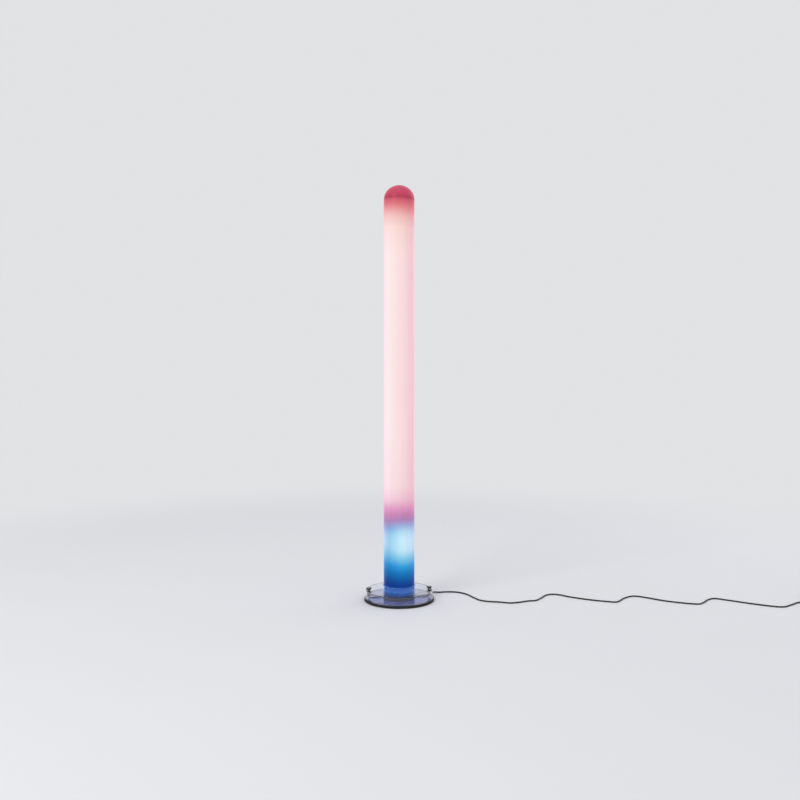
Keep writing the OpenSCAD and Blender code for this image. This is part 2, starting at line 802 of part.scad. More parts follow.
module blue_lamp_cap() {
    color("#c3c5c9") translate([0, 0, socket_seat]) rotate_extrude() {
        square([4, 2]);
        polygon([[0, 2], [5, 2], [10, 5], [0, 5]]);
        translate([0, 5]) square([lamp_cap_d / 2, blue_cap_l - 5]);
    }
}

// Half section of the lamp's glass, thinner all round by t
module globe_outline(t) {
    r = globe_d / 2 - t;
    c = blue_lamp_l - globe_d / 2;
    neck = lamp_cap_d / 2 - 0.6 - t;
    translate([0, c]) circle(r);
    polygon([
        [0, blue_cap_l + t], [neck, blue_cap_l + t], [neck + 0.5, socket_deep + 1],
        [r * cos(25), c - r * sin(25)], [0, c]
    ]);
}

module blue_lamp_glass() {
    color("#2f7fe0") translate([0, 0, socket_seat]) rotate_extrude() difference() {
        globe_outline(0);
        globe_outline(1);
        translate([-globe_d, 0]) square([globe_d, 2 * blue_lamp_l]);
    }
}

// ---- spine and long lamps ----

module spine_foot() {
    color("#a7aab0") translate([0, 0, lamp_deck_top]) difference() {
        union() {
            rotate_extrude() right_round(flange_foot_r, spine_flange_t, 1);
            linear_extrude(spine_foot_h) round_rect(spine_w + 6, spine_w + 6, 3);
        }
        translate([0, 0, -e]) linear_extrude(spine_foot_h + 1)
            round_rect(spine_w + 2 * fit, spine_w + 2 * fit, 2);
        around(pillar_az, flange_foot_r - 5.5) translate([0, 0, -e])
            cylinder(h = spine_flange_t + 1, d = deck_screw_d + 2 * fit, $fn = 32);
    }
}

// A slotted screw with its shank of length l upwards from z = 0 to its head
module slotted_screw(l) {
    difference() {
        union() {
            cylinder(h = l, d = deck_screw_d, $fn = 32);
            translate([0, 0, l]) cylinder(h = screw_head_k, d = screw_head_d, $fn = 32);
        }
        translate([-0.5, -screw_head_d, l + screw_head_k / 2]) cube([1, 2 * screw_head_d, screw_head_k]);
    }
}

module spine_foot_screws() {
    color("#c0c2c6") around(pillar_az, flange_foot_r - 5.5) translate([0, 0, lamp_deck_top])
        slotted_screw(spine_flange_t);
}

module spine() {
    color("#cfd2d6") difference() {
        translate([0, 0, lamp_deck_top]) linear_extrude(top_deck_z - lamp_deck_top) difference() {
            round_rect(spine_w, spine_w, 2);
            round_rect(spine_w - 2 * spine_wall, spine_w - 2 * spine_wall, 0.6);
        }
        around([module_az[0]]) translate([0, 0, loom_z()]) rotate([0, 90, 0])
            cylinder(h = spine_w, d = control_lead_d + 2 * slip, $fn = 32);
        // wire holes behind the lampholders
        for (z = [long_lamp_z - holder_t / 2, long_lamp_top + holder_t / 2])
            translate([-spine_w, 0, z]) rotate([0, 90, 0]) cylinder(h = 2 * spine_w, d = 5, $fn = 32);
        for (z = ballast_screw_z) translate([0, 0, z]) rotate([-90, 0, 0])
            cylinder(h = spine_w, d = deck_screw_d + 2 * fit, $fn = 32);
    }
}

module ballast() {
    y0 = spine_w / 2;
    color("#e4e4e0") difference() {
        union() {
            translate([0, y0 + ballast_deep / 2, ballast_z])
                linear_extrude(ballast_l) round_rect(ballast_w, ballast_deep, 2);
            translate([-ballast_w / 2 + 3, y0, ballast_z - ballast_tab])
                cube([ballast_w - 6, ballast_tab_t, ballast_l + 2 * ballast_tab]);
        }
        for (z = ballast_screw_z) translate([0, y0 - 1, z]) rotate([-90, 0, 0])
            cylinder(h = ballast_tab_t + 2, d = deck_screw_d + 2 * fit, $fn = 32);
    }
}

module ballast_screws() {
    color("#c0c2c6") for (z = ballast_screw_z) translate([0, spine_w / 2 - spine_wall, z])
        rotate([-90, 0, 0]) slotted_screw(spine_wall + ballast_tab_t);
}

// One lampholder for a long lamp, its pin side up
module pin_holder() {
    w = long_lamp_d - 1;
    reach = long_lamp_x - spine_w / 2;
    slot = pin_d + 0.6;
    difference() {
        linear_extrude(holder_t) union() {
            translate([spine_w / 2, -w / 2]) square([reach, w]);
            translate([long_lamp_x, 0]) circle(d = w);
        }
        translate([long_lamp_x - slot / 2, -pin_pitch / 2 - slot / 2, holder_t - pin_l - 0.5])
            cube([slot, pin_pitch + slot, pin_l + 1]);
        translate([long_lamp_x, -slot / 2, holder_t - pin_l - 0.5]) cube([w, slot, pin_l + 1]);
        translate([spine_w / 2 + 2, -w / 2 - 1, -e]) cube([2.5, 4, holder_t + 1]);
        translate([spine_w / 2 + 2, w / 2 - 3, -e]) cube([2.5, 4, holder_t + 1]);
    }
}

module lower_lampholders() {
    color("#f2f2ee") around([0, 180]) translate([0, 0, long_lamp_z - holder_t]) pin_holder();
}

module upper_lampholders() {
    color("#f2f2ee") around([0, 180]) translate([0, 0, long_lamp_top + holder_t]) mirror([0, 0, 1])
        pin_holder();
}

// Metal cap with its two pins, open side up, standing on z = 0
module lamp_end() {
    difference() {
        rotate_extrude() right_round(long_lamp_d / 2 + 0.2, lamp_cap_l, 0.8);
        translate([0, 0, 1.5]) cylinder(h = lamp_cap_l, d = long_lamp_d - 0.6 + 2 * fit);
    }
    for (y = [-1, 1]) translate([0, y * pin_pitch / 2, -pin_l]) cylinder(h = pin_l + 1, d = pin_d, $fn = 24);
}

module long_lamp_caps() {
    color("#b9bcc2") around([0, 180], long_lamp_x) {
        translate([0, 0, long_lamp_z]) lamp_end();
        translate([0, 0, long_lamp_top]) mirror([0, 0, 1]) lamp_end();
    }
}

module long_lamp_glass() {
    r = (long_lamp_d - 0.6) / 2;
    color("#ffe6ea") around([0, 180], long_lamp_x) rotate_extrude()
        translate([0, long_lamp_z + 1.6]) difference() {
            square([r, long_lamp_l - 3.2]);
            translate([0, glass_wall]) square([r - glass_wall, long_lamp_l - 3.2 - 2 * glass_wall]);
        }
}

module spine_plug() {
    w = spine_w - 2 * spine_wall - 0.2;
    color("#3a3c42") translate([0, 0, top_deck_z - spine_plug_h]) difference() {
        linear_extrude(spine_plug_h) round_rect(w, w, 0.6);
        translate([0, 0, 2]) cylinder(h = spine_plug_h, d = top_screw_d + 2 * fit, $fn = 32);
    }
}

module top_deck() {
    color("#eef0f2") translate([0, 0, top_deck_z]) difference() {
        rotate_extrude() right_round(deck_r, deck_t, 0.5);
        translate([0, 0, -e]) cylinder(h = deck_t + 1, d = top_screw_d + 2 * fit, $fn = 32);
        around([0, 90, 180, 270], deck_r - 18) translate([0, 0, -e]) cylinder(h = deck_t + 1, d = 18);
    }
}

module top_screw() {
    shank = top_screw_l + deck_t;
    color("#c0c2c6") translate([0, 0, top_deck_z - top_screw_l]) difference() {
        union() {
            cylinder(h = shank, d = top_screw_d, $fn = 32);
            translate([0, 0, shank]) cylinder(h = 3, d = 9, $fn = 48);
        }
        translate([0, 0, shank + 1]) hex(3, 3);
    }
}

// ---- tube and dome ----

module diffuser_tube() {
    color("#ffdfe6") ring(bore_r, tube_r, box_top_z, tube_end);
}

module cap_gasket() {
    color("#1c1c20") rotate_extrude() translate([bore_r - 0.1, tube_end])
        square([tube_wall - 0.6, gasket_t]);
}

module dome_cap() {
    r = tube_r - dome_inset;
    spigot_r = bore_r - slip;
    color("#f3c9d2") difference() {
        translate([0, 0, dome_z]) rotate_extrude() union() {
            difference() {
                dome_outline(r, dome_rise, dome_shoulder);
                dome_outline(r - dome_wall, dome_rise - dome_wall, dome_shoulder - dome_wall);
            }
            translate([spigot_r - dome_wall, -spigot_l]) square([dome_wall, spigot_l]);
            translate([spigot_r - dome_wall, 0]) square([r - spigot_r + dome_wall / 2, 2.5]);
        }
        for (k = [0:fingers - 1]) rotate([0, 0, (k + 0.5) * 360 / fingers])
            translate([spigot_r - 2 * dome_wall, -finger_slot / 2, dome_z - spigot_l - 1])
                cube([3 * dome_wall, finger_slot, spigot_l - 2]);
    }
}

// ---- mains lead ----

coil_turn_point = function (k) let (
        s = k / coil_rings * 360,
        a = coil_start + s,
        m = abs(s - coil_arc / 2),
        r = coil_out - coil_pitch * (coil_arc / 2 - m) / 360,
        up = smooth(min(max((s - coil_arc / 2) / 180 + 0.5, 0), 1))
    ) [coil_at[0] + r * cos(a), coil_at[1] + r * sin(a), coil_z + up * coil_pitch];

coil_steps = round(coil_turns * coil_rings);
coil_first = coil_turn_point(0);
coil_last = coil_turn_point(coil_steps);
coil_in_dir = [-sin(coil_start), cos(coil_start), 0];
coil_end_az = coil_start + coil_steps / coil_rings * 360;
coil_out_dir = [-sin(coil_end_az), cos(coil_end_az), 0];
coil_entry = coil_first - cord_d * coil_in_dir;
tail_end = coil_last + tail_l * coil_out_dir + [0, 0, plug_z - coil_last[2]];

function cord_points() = let (
        out = [cos(cord_az), sin(cord_az), 0],
        floor_points = [for (p = route) [p[0], p[1], cord_r]],
        ramp = coil_ramp * coil_in_dir + [0, 0, coil_z - cord_r],
        all = through(concat([sleeve_tip + lead_gap * out, sleeve_tip + sleeve_straight * out],
            floor_points, [coil_entry - ramp, coil_entry - coil_lead_in * coil_in_dir,
            coil_entry - lead_gap * coil_in_dir]), 2)
    ) [for (p = all) [p[0], p[1], max(p[2], cord_r)]];

function coil_points() = concat(
    [coil_entry],
    [for (k = [0:coil_steps]) coil_turn_point(k)],
    [for (k = [1:tail_rings]) let (
            t = k / tail_rings,
            s = min(max((t * tail_l - cord_d) / (tail_l - 2 * cord_d), 0), 1)
        ) coil_last + t * tail_l * coil_out_dir + [0, 0, smooth(s) * (plug_z - coil_last[2])]]
);

// Least air between two turns of the coil, measured from ring to ring
coil_gap = let (p = coil_points(), n = len(p)) min([
    for (i = [0:n - 1], j = [i + 8:1:n - 1]) norm(p[i] - p[j])
]) - cord_d;
echo(str("least gap between turns of the coil: ", coil_gap, " mm"));

function way(p) = let (n = len(p) - 1)
    [for (i = [1:n]) norm(p[i] - p[i - 1])] * [for (i = [1:n]) 1];
echo(str("length of the mains lead: ", way(cord_points()) + way(coil_points()), " mm"));

module cord_run() {
    color("#101014") swept(cord_points(), cord_d, 8);
}

module cord_coil() {
    color("#101014") swept(coil_points(), cord_d, 6);
}

module coil_tie() {
    tie_az = 170;
    r0 = coil_mean - coil_turns * coil_pitch / 4 - cord_r - 1;
    r1 = coil_out + cord_r + 0.8;
    h = 2 * tie_t + coil_pitch + cord_d + 0.6;
    color("#26262c") translate([coil_at[0], coil_at[1], 0]) rotate([0, 0, tie_az])
        translate([(r0 + r1) / 2, 0, h / 2]) rotate([90, 0, 0])
            linear_extrude(8, center = true) difference() {
                round_rect(r1 - r0 + 2 * tie_t, h, 2.6);
                round_rect(r1 - r0, h - 2 * tie_t, 1.6);
            }
}

// The plug, its cord end at the origin and its pins along +X
module plug_frame() {
    translate(tail_end) rotate([0, 0, coil_end_az + 90]) children();
}

module plug_body() {
    waist = 0.46 * plug_w;
    color("#101014") plug_frame() difference() {
        union() {
            rotate([0, 90, 0]) cylinder(h = plug_sleeve_l + 2, d1 = cord_d + 1.6, d2 = 10.6);
            translate([plug_sleeve_l, 0, 0]) intersection() {
                translate([0, 0, -plug_t / 2]) linear_extrude(plug_t) difference() {
                    polygon([
                        [0, -waist / 2], [0.2 * plug_l, -waist / 2 - 1], [0.62 * plug_l, -plug_w / 2 + 1],
                        [0.74 * plug_l, -plug_w / 2], [plug_l, -plug_w / 2], [plug_l, plug_w / 2],
                        [0.74 * plug_l, plug_w / 2], [0.62 * plug_l, plug_w / 2 - 1],
                        [0.2 * plug_l, waist / 2 + 1], [0, waist / 2]
                    ]);
                    // finger hollows
                    for (y = [-1, 1]) translate([0.36 * plug_l, y * (plug_w / 2 + 20)])
                        circle(27 - 0.14 * plug_w);
                }
                rotate([90, 0, 0]) linear_extrude(plug_w + 2, center = true) polygon([
                    [0, -plug_t / 2 + 2.4], [6, -plug_t / 2], [plug_l, -plug_t / 2],
                    [plug_l, plug_t / 2], [6, plug_t / 2], [0, plug_t / 2 - 2.4]
                ]);
                // the long edges of the face are round, as on every flat plug
                rotate([0, 90, 0]) linear_extrude(plug_l)
                    round_rect(plug_t, plug_w, plug_t / 2 - 0.6);
            }
        }
        for (k = [0:3]) translate([4 + k * 4.6, 0, 0]) rotate([0, 90, 0]) difference() {
            cylinder(h = 1.5, d = 16);
            translate([0, 0, -1]) cylinder(h = 4, d = cord_d + 0.6 + 0.3 * k);
        }
        for (y = [-1, 1]) translate([plug_face - plug_pin_in - 0.4, y * plug_pin_gap / 2, 0])
            rotate([0, 90, 0]) cylinder(h = plug_pin_in + 1, d = plug_pin_d + 2 * fit, $fn = 32);
    }
}

module plug_pins() {
    nose = 2;
    straight = plug_pin_in + plug_pin_l - nose;
    color("#c9cbd0") plug_frame() for (y = [-1, 1])
        translate([plug_face - plug_pin_in, y * plug_pin_gap / 2, 0]) rotate([0, 90, 0]) {
            cylinder(h = straight, d = plug_pin_d, $fn = 32);
            translate([0, 0, straight - e])
                cylinder(h = nose, d1 = plug_pin_d, d2 = 0.6 * plug_pin_d, $fn = 32);
        }
}

foot_ring();
base_plate();
clamp_disc();
clamp_screws();
base_cover();
tube_collar();
collar_screws();
wiring_box();
terminal_block();
strain_relief();
inner_lead();
dimmer_control_left();
dimmer_control_right();
control_nuts();
control_leads();
spindle_left();
spindle_right();
knob_left();
knob_right();
dimmer_module_left();
dimmer_module_right();
gear_leads();
lamp_loom();
pillars();
pillar_nuts();
gear_deck();
blue_lampholder();
blue_lamp_cap();
blue_lamp_glass();
lamp_deck();
spine_foot();
spine_foot_screws();
spine();
ballast();
ballast_screws();
lower_lampholders();
upper_lampholders();
long_lamp_caps();
long_lamp_glass();
spine_plug();
top_deck();
top_screw();
diffuser_tube();
cap_gasket();
dome_cap();
cord_run();
cord_coil();
coil_tie();
plug_body();
plug_pins();
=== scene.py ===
# Looks of the opal light column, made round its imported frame
import math

import bmesh
import bpy
from mathutils import Matrix, Vector


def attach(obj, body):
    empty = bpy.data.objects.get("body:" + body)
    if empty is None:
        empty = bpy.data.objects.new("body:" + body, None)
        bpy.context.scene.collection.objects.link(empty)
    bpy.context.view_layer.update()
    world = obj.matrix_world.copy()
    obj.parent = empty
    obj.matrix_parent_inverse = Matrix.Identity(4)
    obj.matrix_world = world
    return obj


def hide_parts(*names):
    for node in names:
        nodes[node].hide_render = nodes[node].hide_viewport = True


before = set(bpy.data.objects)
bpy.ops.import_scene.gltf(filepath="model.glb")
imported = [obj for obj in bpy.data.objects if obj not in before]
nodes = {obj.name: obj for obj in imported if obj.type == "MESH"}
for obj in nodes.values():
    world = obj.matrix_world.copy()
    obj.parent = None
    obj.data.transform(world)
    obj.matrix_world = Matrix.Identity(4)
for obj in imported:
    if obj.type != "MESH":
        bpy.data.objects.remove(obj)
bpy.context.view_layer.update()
scene = bpy.context.scene
mm = 0.001
touching = 1e-6  # points closer than this, in metres, are one point
# places that more than one piece uses, in mm and degrees round the lamp
places = {
    "knobOrbit": 131.5, "leftKnob": 185.5, "rightKnob": 5.5, "lead": 33, "leadHeight": 7.5,
    "screws": (90, 210, 330), "screwHeight": 56.25,
}

# the photograph's viewing angle
photoView = {"at": (0, -4.04, 1.056), "lens": 41.85, "sensor": 36, "shift": (0.0011, -0.0543)}
camera = bpy.data.objects.new("camera", bpy.data.cameras.new("camera"))
camera.location = photoView["at"]
camera.rotation_euler = (math.pi / 2, 0, 0)
camera.data.lens = photoView["lens"]
camera.data.sensor_width = photoView["sensor"]
camera.data.shift_x, camera.data.shift_y = photoView["shift"]
scene.collection.objects.link(camera)
scene.camera = camera


class Wire:  # an output socket; sums and products of wires add Math nodes
    def __init__(self, tree, socket):
        self.tree, self.socket = tree, socket

    def math(self, operation, other=None):
        return self.tree.node("ShaderNodeMath", {"operation": operation}, {0: self, 1: other})

    def __add__(self, other):
        return self.math("ADD", other)

    def __sub__(self, other):
        return self.math("SUBTRACT", other)

    def __rsub__(self, other):
        return self.tree.node("ShaderNodeMath", {"operation": "SUBTRACT"}, {0: other, 1: self})

    def __mul__(self, other):
        return self.math("MULTIPLY", other)

    def __truediv__(self, other):
        return self.math("DIVIDE", other)

    __radd__ = __add__
    __rmul__ = __mul__

    def rise(self, low, high):  # 0 below low, 1 above high, smooth between
        return self.tree.node(
            "ShaderNodeMapRange",
            {"interpolation_type": "SMOOTHSTEP"},
            {"Value": self, "From Min": low, "From Max": high, "To Min": 0, "To Max": 1},
        )


class Tree:  # a node tree and the one way a node gets into it
    def __init__(self, nodeTree):
        self.nodes, self.links = nodeTree.nodes, nodeTree.links

    def node(self, kind, settings=None, values=None, out=0):
        made = self.nodes.new(kind)
        for key, value in (settings or {}).items():
            if key == "stops":
                self.setStops(made.color_ramp, value)
            else:
                setattr(made, key, value)
        for key, value in (values or {}).items():
            self.put(made.inputs[key], value)
        return Wire(self, made.outputs[out])

    def setStops(self, ramp, stops):
        while len(ramp.elements) < len(stops):
            ramp.elements.new(0.5)
        for element, (position, color) in zip(ramp.elements, stops):
            element.position = position
            element.color = (*color, 1)

    def put(self, socket, value):
        if isinstance(value, Wire):
            self.links.new(value.socket, socket)
        elif value is not None:
            socket.default_value = (*value, 1) if socket.type == "RGBA" and len(value) == 3 else value


class Finish(Tree):  # one material of the lamp
    def __init__(self, name, constants=None):
        self.material = bpy.data.materials.new(name)
        self.material.use_nodes = True
        super().__init__(self.material.node_tree)
        self.shader = self.nodes["Principled BSDF"]
        self.place = self.node("ShaderNodeTexCoord", out="Object")
        self.set(constants or {})

    def set(self, values):
        for key, value in values.items():
            self.put(self.shader.inputs[key], value)

    def noise(self, scale, detail=3, stretch=None):
        place = self.place
        if stretch:
            place = self.node("ShaderNodeMapping", None, {"Vector": place, "Scale": stretch})
        return self.node("ShaderNodeTexNoise", None, {"Vector": place, "Scale": scale, "Detail": detail})

    def mix(self, factor, first, second, blend="MIX"):
        settings = {"data_type": "RGBA", "blend_type": blend}
        return self.node("ShaderNodeMix", settings, {0: factor, 6: first, 7: second}, out=2)

    def bump(self, height, depth, strength=1.0):
        values = {"Strength": strength, "Distance": depth, "Height": height}
        return self.node("ShaderNodeBump", None, values)

    def axis(self, name):
        return self.node("ShaderNodeSeparateXYZ", None, {0: self.place}, out=name)

    def letLightThrough(self, shade):  # lamps shine through the piece, so that it casts only a faint shadow
        path = self.nodes.new("ShaderNodeLightPath")
        fromLamp = Wire(self, path.outputs["Is Shadow Ray"])
        solid = Wire(self, self.shader.outputs["BSDF"])
        through = self.node("ShaderNodeBsdfTransparent", None, {"Color": shade})
        both = self.node("ShaderNodeMixShader", None, {0: fromLamp, 1: solid, 2: through})
        self.links.new(both.socket, self.nodes["Material Output"].inputs["Surface"])


def addPiece(name, mesh, body, material, smooth=35):
    # a finished piece on its body; faces that meet at more than smooth degrees keep their edge
    piece = bpy.data.objects.new(name, mesh)
    scene.collection.objects.link(piece)
    mesh.materials.clear()
    mesh.materials.append(material)
    mesh.shade_smooth()
    mesh.set_sharp_from_angle(angle=math.radians(smooth))
    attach(piece, body)
    return piece


def filleted(corners, steps):
    # points round a section whose corners (x, y, radius) are made round
    points = []
    for i, (x, y, radius) in enumerate(corners):
        here = Vector((x, y))
        back = (Vector(corners[i - 1][:2]) - here).normalized()
        on = (Vector(corners[(i + 1) % len(corners)][:2]) - here).normalized()
        if not radius:
            points.append(here)
            continue
        half = back.angle(on) / 2
        centre = here + (back + on).normalized() * radius / math.sin(half)
        start = here + back * radius / math.tan(half) - centre
        turn = start.angle_signed(here + on * radius / math.tan(half) - centre)
        for k in range(steps + 1):
            points.append(centre + Matrix.Rotation(-turn * k / steps, 2) @ start)
    return heldFlat(points)


def heldFlat(points, hold=0.4, longEnough=4):
    # a point close to each end of a long straight keeps the shading of its face flat
    held = []
    for i, here in enumerate(points):
        straight = points[(i + 1) % len(points)] - here
        held.append(here)
        if straight.length > longEnough * hold:
            along = straight.normalized()
            held += [here + along * hold, here + along * (straight.length - hold)]
    return held


def turnedMesh(name, section, steps=160):
    # a closed section of (radius, height) in mm, turned about the lamp's axis
    count = len(section)
    corners, faces = [], []
    for i in range(steps):
        a = 2 * math.pi * i / steps
        corners += [(r * mm * math.cos(a), r * mm * math.sin(a), z * mm) for r, z in section]
    for i in range(steps):
        for k in range(count):
            near, far, up = i * count, (i + 1) % steps * count, (k + 1) % count
            faces.append((near + k, near + up, far + up, far + k))
    mesh = bpy.data.meshes.new(name)
    mesh.from_pydata(corners, [], faces)
    return outwards(mesh)


def outwards(mesh):
    # the mesh with its doubles merged and all faces looking out
    shape = bmesh.new()
    shape.from_mesh(mesh)
    bmesh.ops.remove_doubles(shape, verts=shape.verts, dist=touching)
    bmesh.ops.recalc_face_normals(shape, faces=shape.faces)
    if shape.calc_volume(signed=True) < 0:
        bmesh.ops.reverse_faces(shape, faces=shape.faces)
    shape.to_mesh(mesh)
    shape.free()
    return mesh


def joined(name, first, second, place):
    # two meshes as one, put in their place
    shape = bmesh.new()
    shape.from_mesh(first)
    shape.from_mesh(second)
    shape.transform(place)
    mesh = bpy.data.meshes.new(name)
    shape.to_mesh(mesh)
    shape.free()
    return mesh


def barMesh(name, radius, length, sides=48):
    # a round bar along +X from the origin, in mm
    shape = bmesh.new()
    bmesh.ops.create_cone(
        shape, cap_ends=True, segments=sides, radius1=radius * mm, radius2=radius * mm, depth=length * mm
    )
    shape.transform(Matrix.Rotation(math.pi / 2, 4, "Y"))
    shape.transform(Matrix.Translation((length * mm / 2, 0, 0)))
    mesh = bpy.data.meshes.new(name)
    shape.to_mesh(mesh)
    shape.free()
    return mesh


def boxMesh(name, low, high):
    # a box between two corners, in mm
    shape = bmesh.new()
    bmesh.ops.create_cube(shape, size=1)
    size = [(b - a) * mm for a, b in zip(low, high)]
    middle = [(b + a) * mm / 2 for a, b in zip(low, high)]
    shape.transform(Matrix.Translation(middle) @ Matrix.Diagonal((*size, 1)))
    mesh = bpy.data.meshes.new(name)
    shape.to_mesh(mesh)
    shape.free()
    return mesh


def carved(mesh, cutters):
    # the mesh without the cutters, each a (mesh, matrix) pair
    body = bpy.data.objects.new("carvedBody", mesh)
    scene.collection.objects.link(body)
    tools = []
    for cutter, matrix in cutters:
        tool = bpy.data.objects.new("cutter", cutter)
        scene.collection.objects.link(tool)
        tool.matrix_world = matrix
        cut = body.modifiers.new("cut", "BOOLEAN")
        cut.operation, cut.solver, cut.object = "DIFFERENCE", "EXACT", tool
        tools.append(tool)
    bpy.context.view_layer.update()
    result = bpy.data.meshes.new_from_object(body.evaluated_get(bpy.context.evaluated_depsgraph_get()))
    for spare in [body, *tools]:
        bpy.data.objects.remove(spare)
    return outwards(result)


def turnedAt(azimuth, radius=0, height=0):
    # the place at that angle round the lamp, with +X pointing outwards, in mm
    turn = Matrix.Rotation(math.radians(azimuth), 4, "Z")
    return turn @ Matrix.Translation((radius * mm, 0, height * mm))


def recipe(name, sizes):
    # an empty geometry tree with a named input for each size
    group = bpy.data.node_groups.new(name, "GeometryNodeTree")
    sockets = group.interface
    sockets.new_socket("Geometry", in_out="INPUT", socket_type="NodeSocketGeometry")
    for label, value in sizes.items():
        kind = "NodeSocketInt" if isinstance(value, int) else "NodeSocketFloat"
        kind = "NodeSocketMaterial" if value is None else kind
        socket = sockets.new_socket(label, in_out="INPUT", socket_type=kind)
        if value is not None:
            socket.default_value = value
    sockets.new_socket("Geometry", in_out="OUTPUT", socket_type="NodeSocketGeometry")
    tree = Tree(group)
    source = group.nodes.new("NodeGroupInput")
    given = {socket.name: Wire(tree, socket) for socket in source.outputs if socket.name}
    return group, tree, given


def finishRecipe(group, tree, geometry, material):
    # real meshes with their material, at the end of every tree
    real = tree.node("GeometryNodeRealizeInstances", None, {"Geometry": geometry})
    last = tree.node("GeometryNodeSetMaterial", None, {"Geometry": real, "Material": material})
    out = group.nodes.new("NodeGroupOutput")
    tree.links.new(last.socket, out.inputs["Geometry"])
    return group


def grown(mesh, group, values):
    # the plain mesh that a geometry tree makes from mesh with the given inputs
    start = bpy.data.objects.new("growing", mesh)
    scene.collection.objects.link(start)
    modifier = start.modifiers.new(group.name, "NODES")
    modifier.node_group = group
    for item in group.interface.items_tree:
        if item.in_out == "INPUT" and item.name in values:
            modifier[item.identifier] = values[item.name]
    bpy.context.view_layer.update()
    result = bpy.data.meshes.new_from_object(start.evaluated_get(bpy.context.evaluated_depsgraph_get()))
    bpy.data.objects.remove(start)
    return result


def ringRecipe():
    # copies of the input on a circle, all looking outwards
    group, tree, given = recipe("ringOfCopies", {
        "Count": 3, "First angle": 0.0, "Step": 2.0, "Radius": 0.05, "Height": 0.0, "Finish": None,
    })
    moved = tree.node("ShaderNodeCombineXYZ", None, {"X": given["Radius"], "Z": given["Height"]})
    copy = tree.node("GeometryNodeTransform", None, {"Geometry": given["Geometry"], "Translation": moved})
    points = tree.node("GeometryNodePoints", None, {"Count": given["Count"]})
    index = tree.node("GeometryNodeInputIndex")
    turn = tree.node("ShaderNodeCombineXYZ", None, {"Z": given["First angle"] + index * given["Step"]})
    values = {"Points": points, "Instance": copy, "Rotation": turn}
    copies = tree.node("GeometryNodeInstanceOnPoints", None, values)
    return finishRecipe(group, tree, copies, given["Finish"])


def rowRecipe():
    # copies of the input along X, each a step on and scaled between two sizes
    group, tree, given = recipe("rowOfCopies", {
        "Count": 5, "Start": 0.0, "Pitch": 0.004, "First size": 1.0, "Last size": 0.8, "Finish": None,
    })
    points = tree.node("GeometryNodePoints", None, {"Count": given["Count"]})
    index = tree.node("GeometryNodeInputIndex")
    place = tree.node("ShaderNodeCombineXYZ", None, {"X": given["Start"] + index * given["Pitch"]})
    placed = tree.node("GeometryNodeSetPosition", None, {"Geometry": points, "Position": place})
    share = index / (given["Count"] - 1)
    size = given["First size"] + (given["Last size"] - given["First size"]) * share
    scale = tree.node("ShaderNodeCombineXYZ", None, {"X": 1, "Y": size, "Z": size})
    values = {"Points": placed, "Instance": given["Geometry"], "Scale": scale}
    copies = tree.node("GeometryNodeInstanceOnPoints", None, values)
    return finishRecipe(group, tree, copies, given["Finish"])


def domeRecipe():
    # a whole dome bent from a flat grid: a shoulder arc that runs into a flatter crown arc
    group, tree, given = recipe("domeShell", {
        "Radius": 0.0659, "Rise": 0.0585, "Shoulder": 0.05, "Base height": 1.7415, "Around": 160, "Up": 40,
        "Finish": None,
    })
    radius, rise, shoulder = given["Radius"], given["Rise"], given["Shoulder"]
    inset = radius - shoulder
    crown = (inset * inset + rise * rise - shoulder * shoulder) / ((rise - shoulder) * 2)
    meet = ((crown - rise) / inset).math("ARCTANGENT")
    values = {"Size X": 1, "Size Y": 1, "Vertices X": given["Around"], "Vertices Y": given["Up"]}
    grid = tree.node("GeometryNodeMeshGrid", None, values)
    position = tree.node("GeometryNodeInputPosition")
    across = tree.node("ShaderNodeSeparateXYZ", None, {0: position}, out="X")
    along = tree.node("ShaderNodeSeparateXYZ", None, {0: position}, out="Y")
    azimuth = (across + 0.5) * (2 * math.pi)
    slope = (along + 0.5) * (math.pi / 2)
    onCrown = slope.math("GREATER_THAN", meet)
    arc = shoulder + (crown - shoulder) * onCrown
    r = slope.math("COSINE") * arc + inset * (1 - onCrown)
    z = slope.math("SINE") * arc + (rise - crown) * onCrown + given["Base height"]
    r = r.math("MAXIMUM", 0)
    values = {"X": azimuth.math("COSINE") * r, "Y": azimuth.math("SINE") * r, "Z": z}
    place = tree.node("ShaderNodeCombineXYZ", None, values)
    shell = tree.node("GeometryNodeSetPosition", None, {"Geometry": grid, "Position": place})
    return finishRecipe(group, tree, shell, given["Finish"])


ringOfCopies, rowOfCopies, domeShell = ringRecipe(), rowRecipe(), domeRecipe()
print("recipes made")


# mains lead: sizes and route on the floor, in mm
lead = {
    "diameter": 6.2, "length": 3000, "tip": (150.96, 98.03, places["leadHeight"]), "straight": 9, "inside": 3,
    "route": [
        (176, 113), (202, 121), (230, 123), (256, 118), (282, 101), (305, 71), (327, 22),
        (350, -20), (382, -40), (428, -50), (474, -65), (510, -56), (556, -33), (590, -24),
        (618, 14), (648, 64), (680, 80), (712, 68), (750, 34), (820, -10), (890, -40),
        (935, -48), (976, 8), (1013, 42), (1045, 46), (1086, 18), (1160, -40), (1263, -82),
        (1300, -62), (1336, -14), (1374, 8), (1420, -20), (1518, -86), (1606, -128),
        (1660, -98), (1712, -56),
    ],
    "steps": 12, "fallFrom": 3, "fall": 36, "ramp": 30, "leadIn": 8,
    "coilAt": (1812, 24, 4.5), "coilMean": 34.4, "coilPitch": 6.8, "coilTurns": 4.2, "coilStart": -72,
    "coilRings": 24, "coilSteps": 2, "tail": 40, "tailSteps": 12, "plugHeight": 6.85,
}


def smoothStep(t):
    # 0 below 0, 1 above 1, smooth between
    t = min(max(t, 0), 1)
    return t * t * (3 - 2 * t)


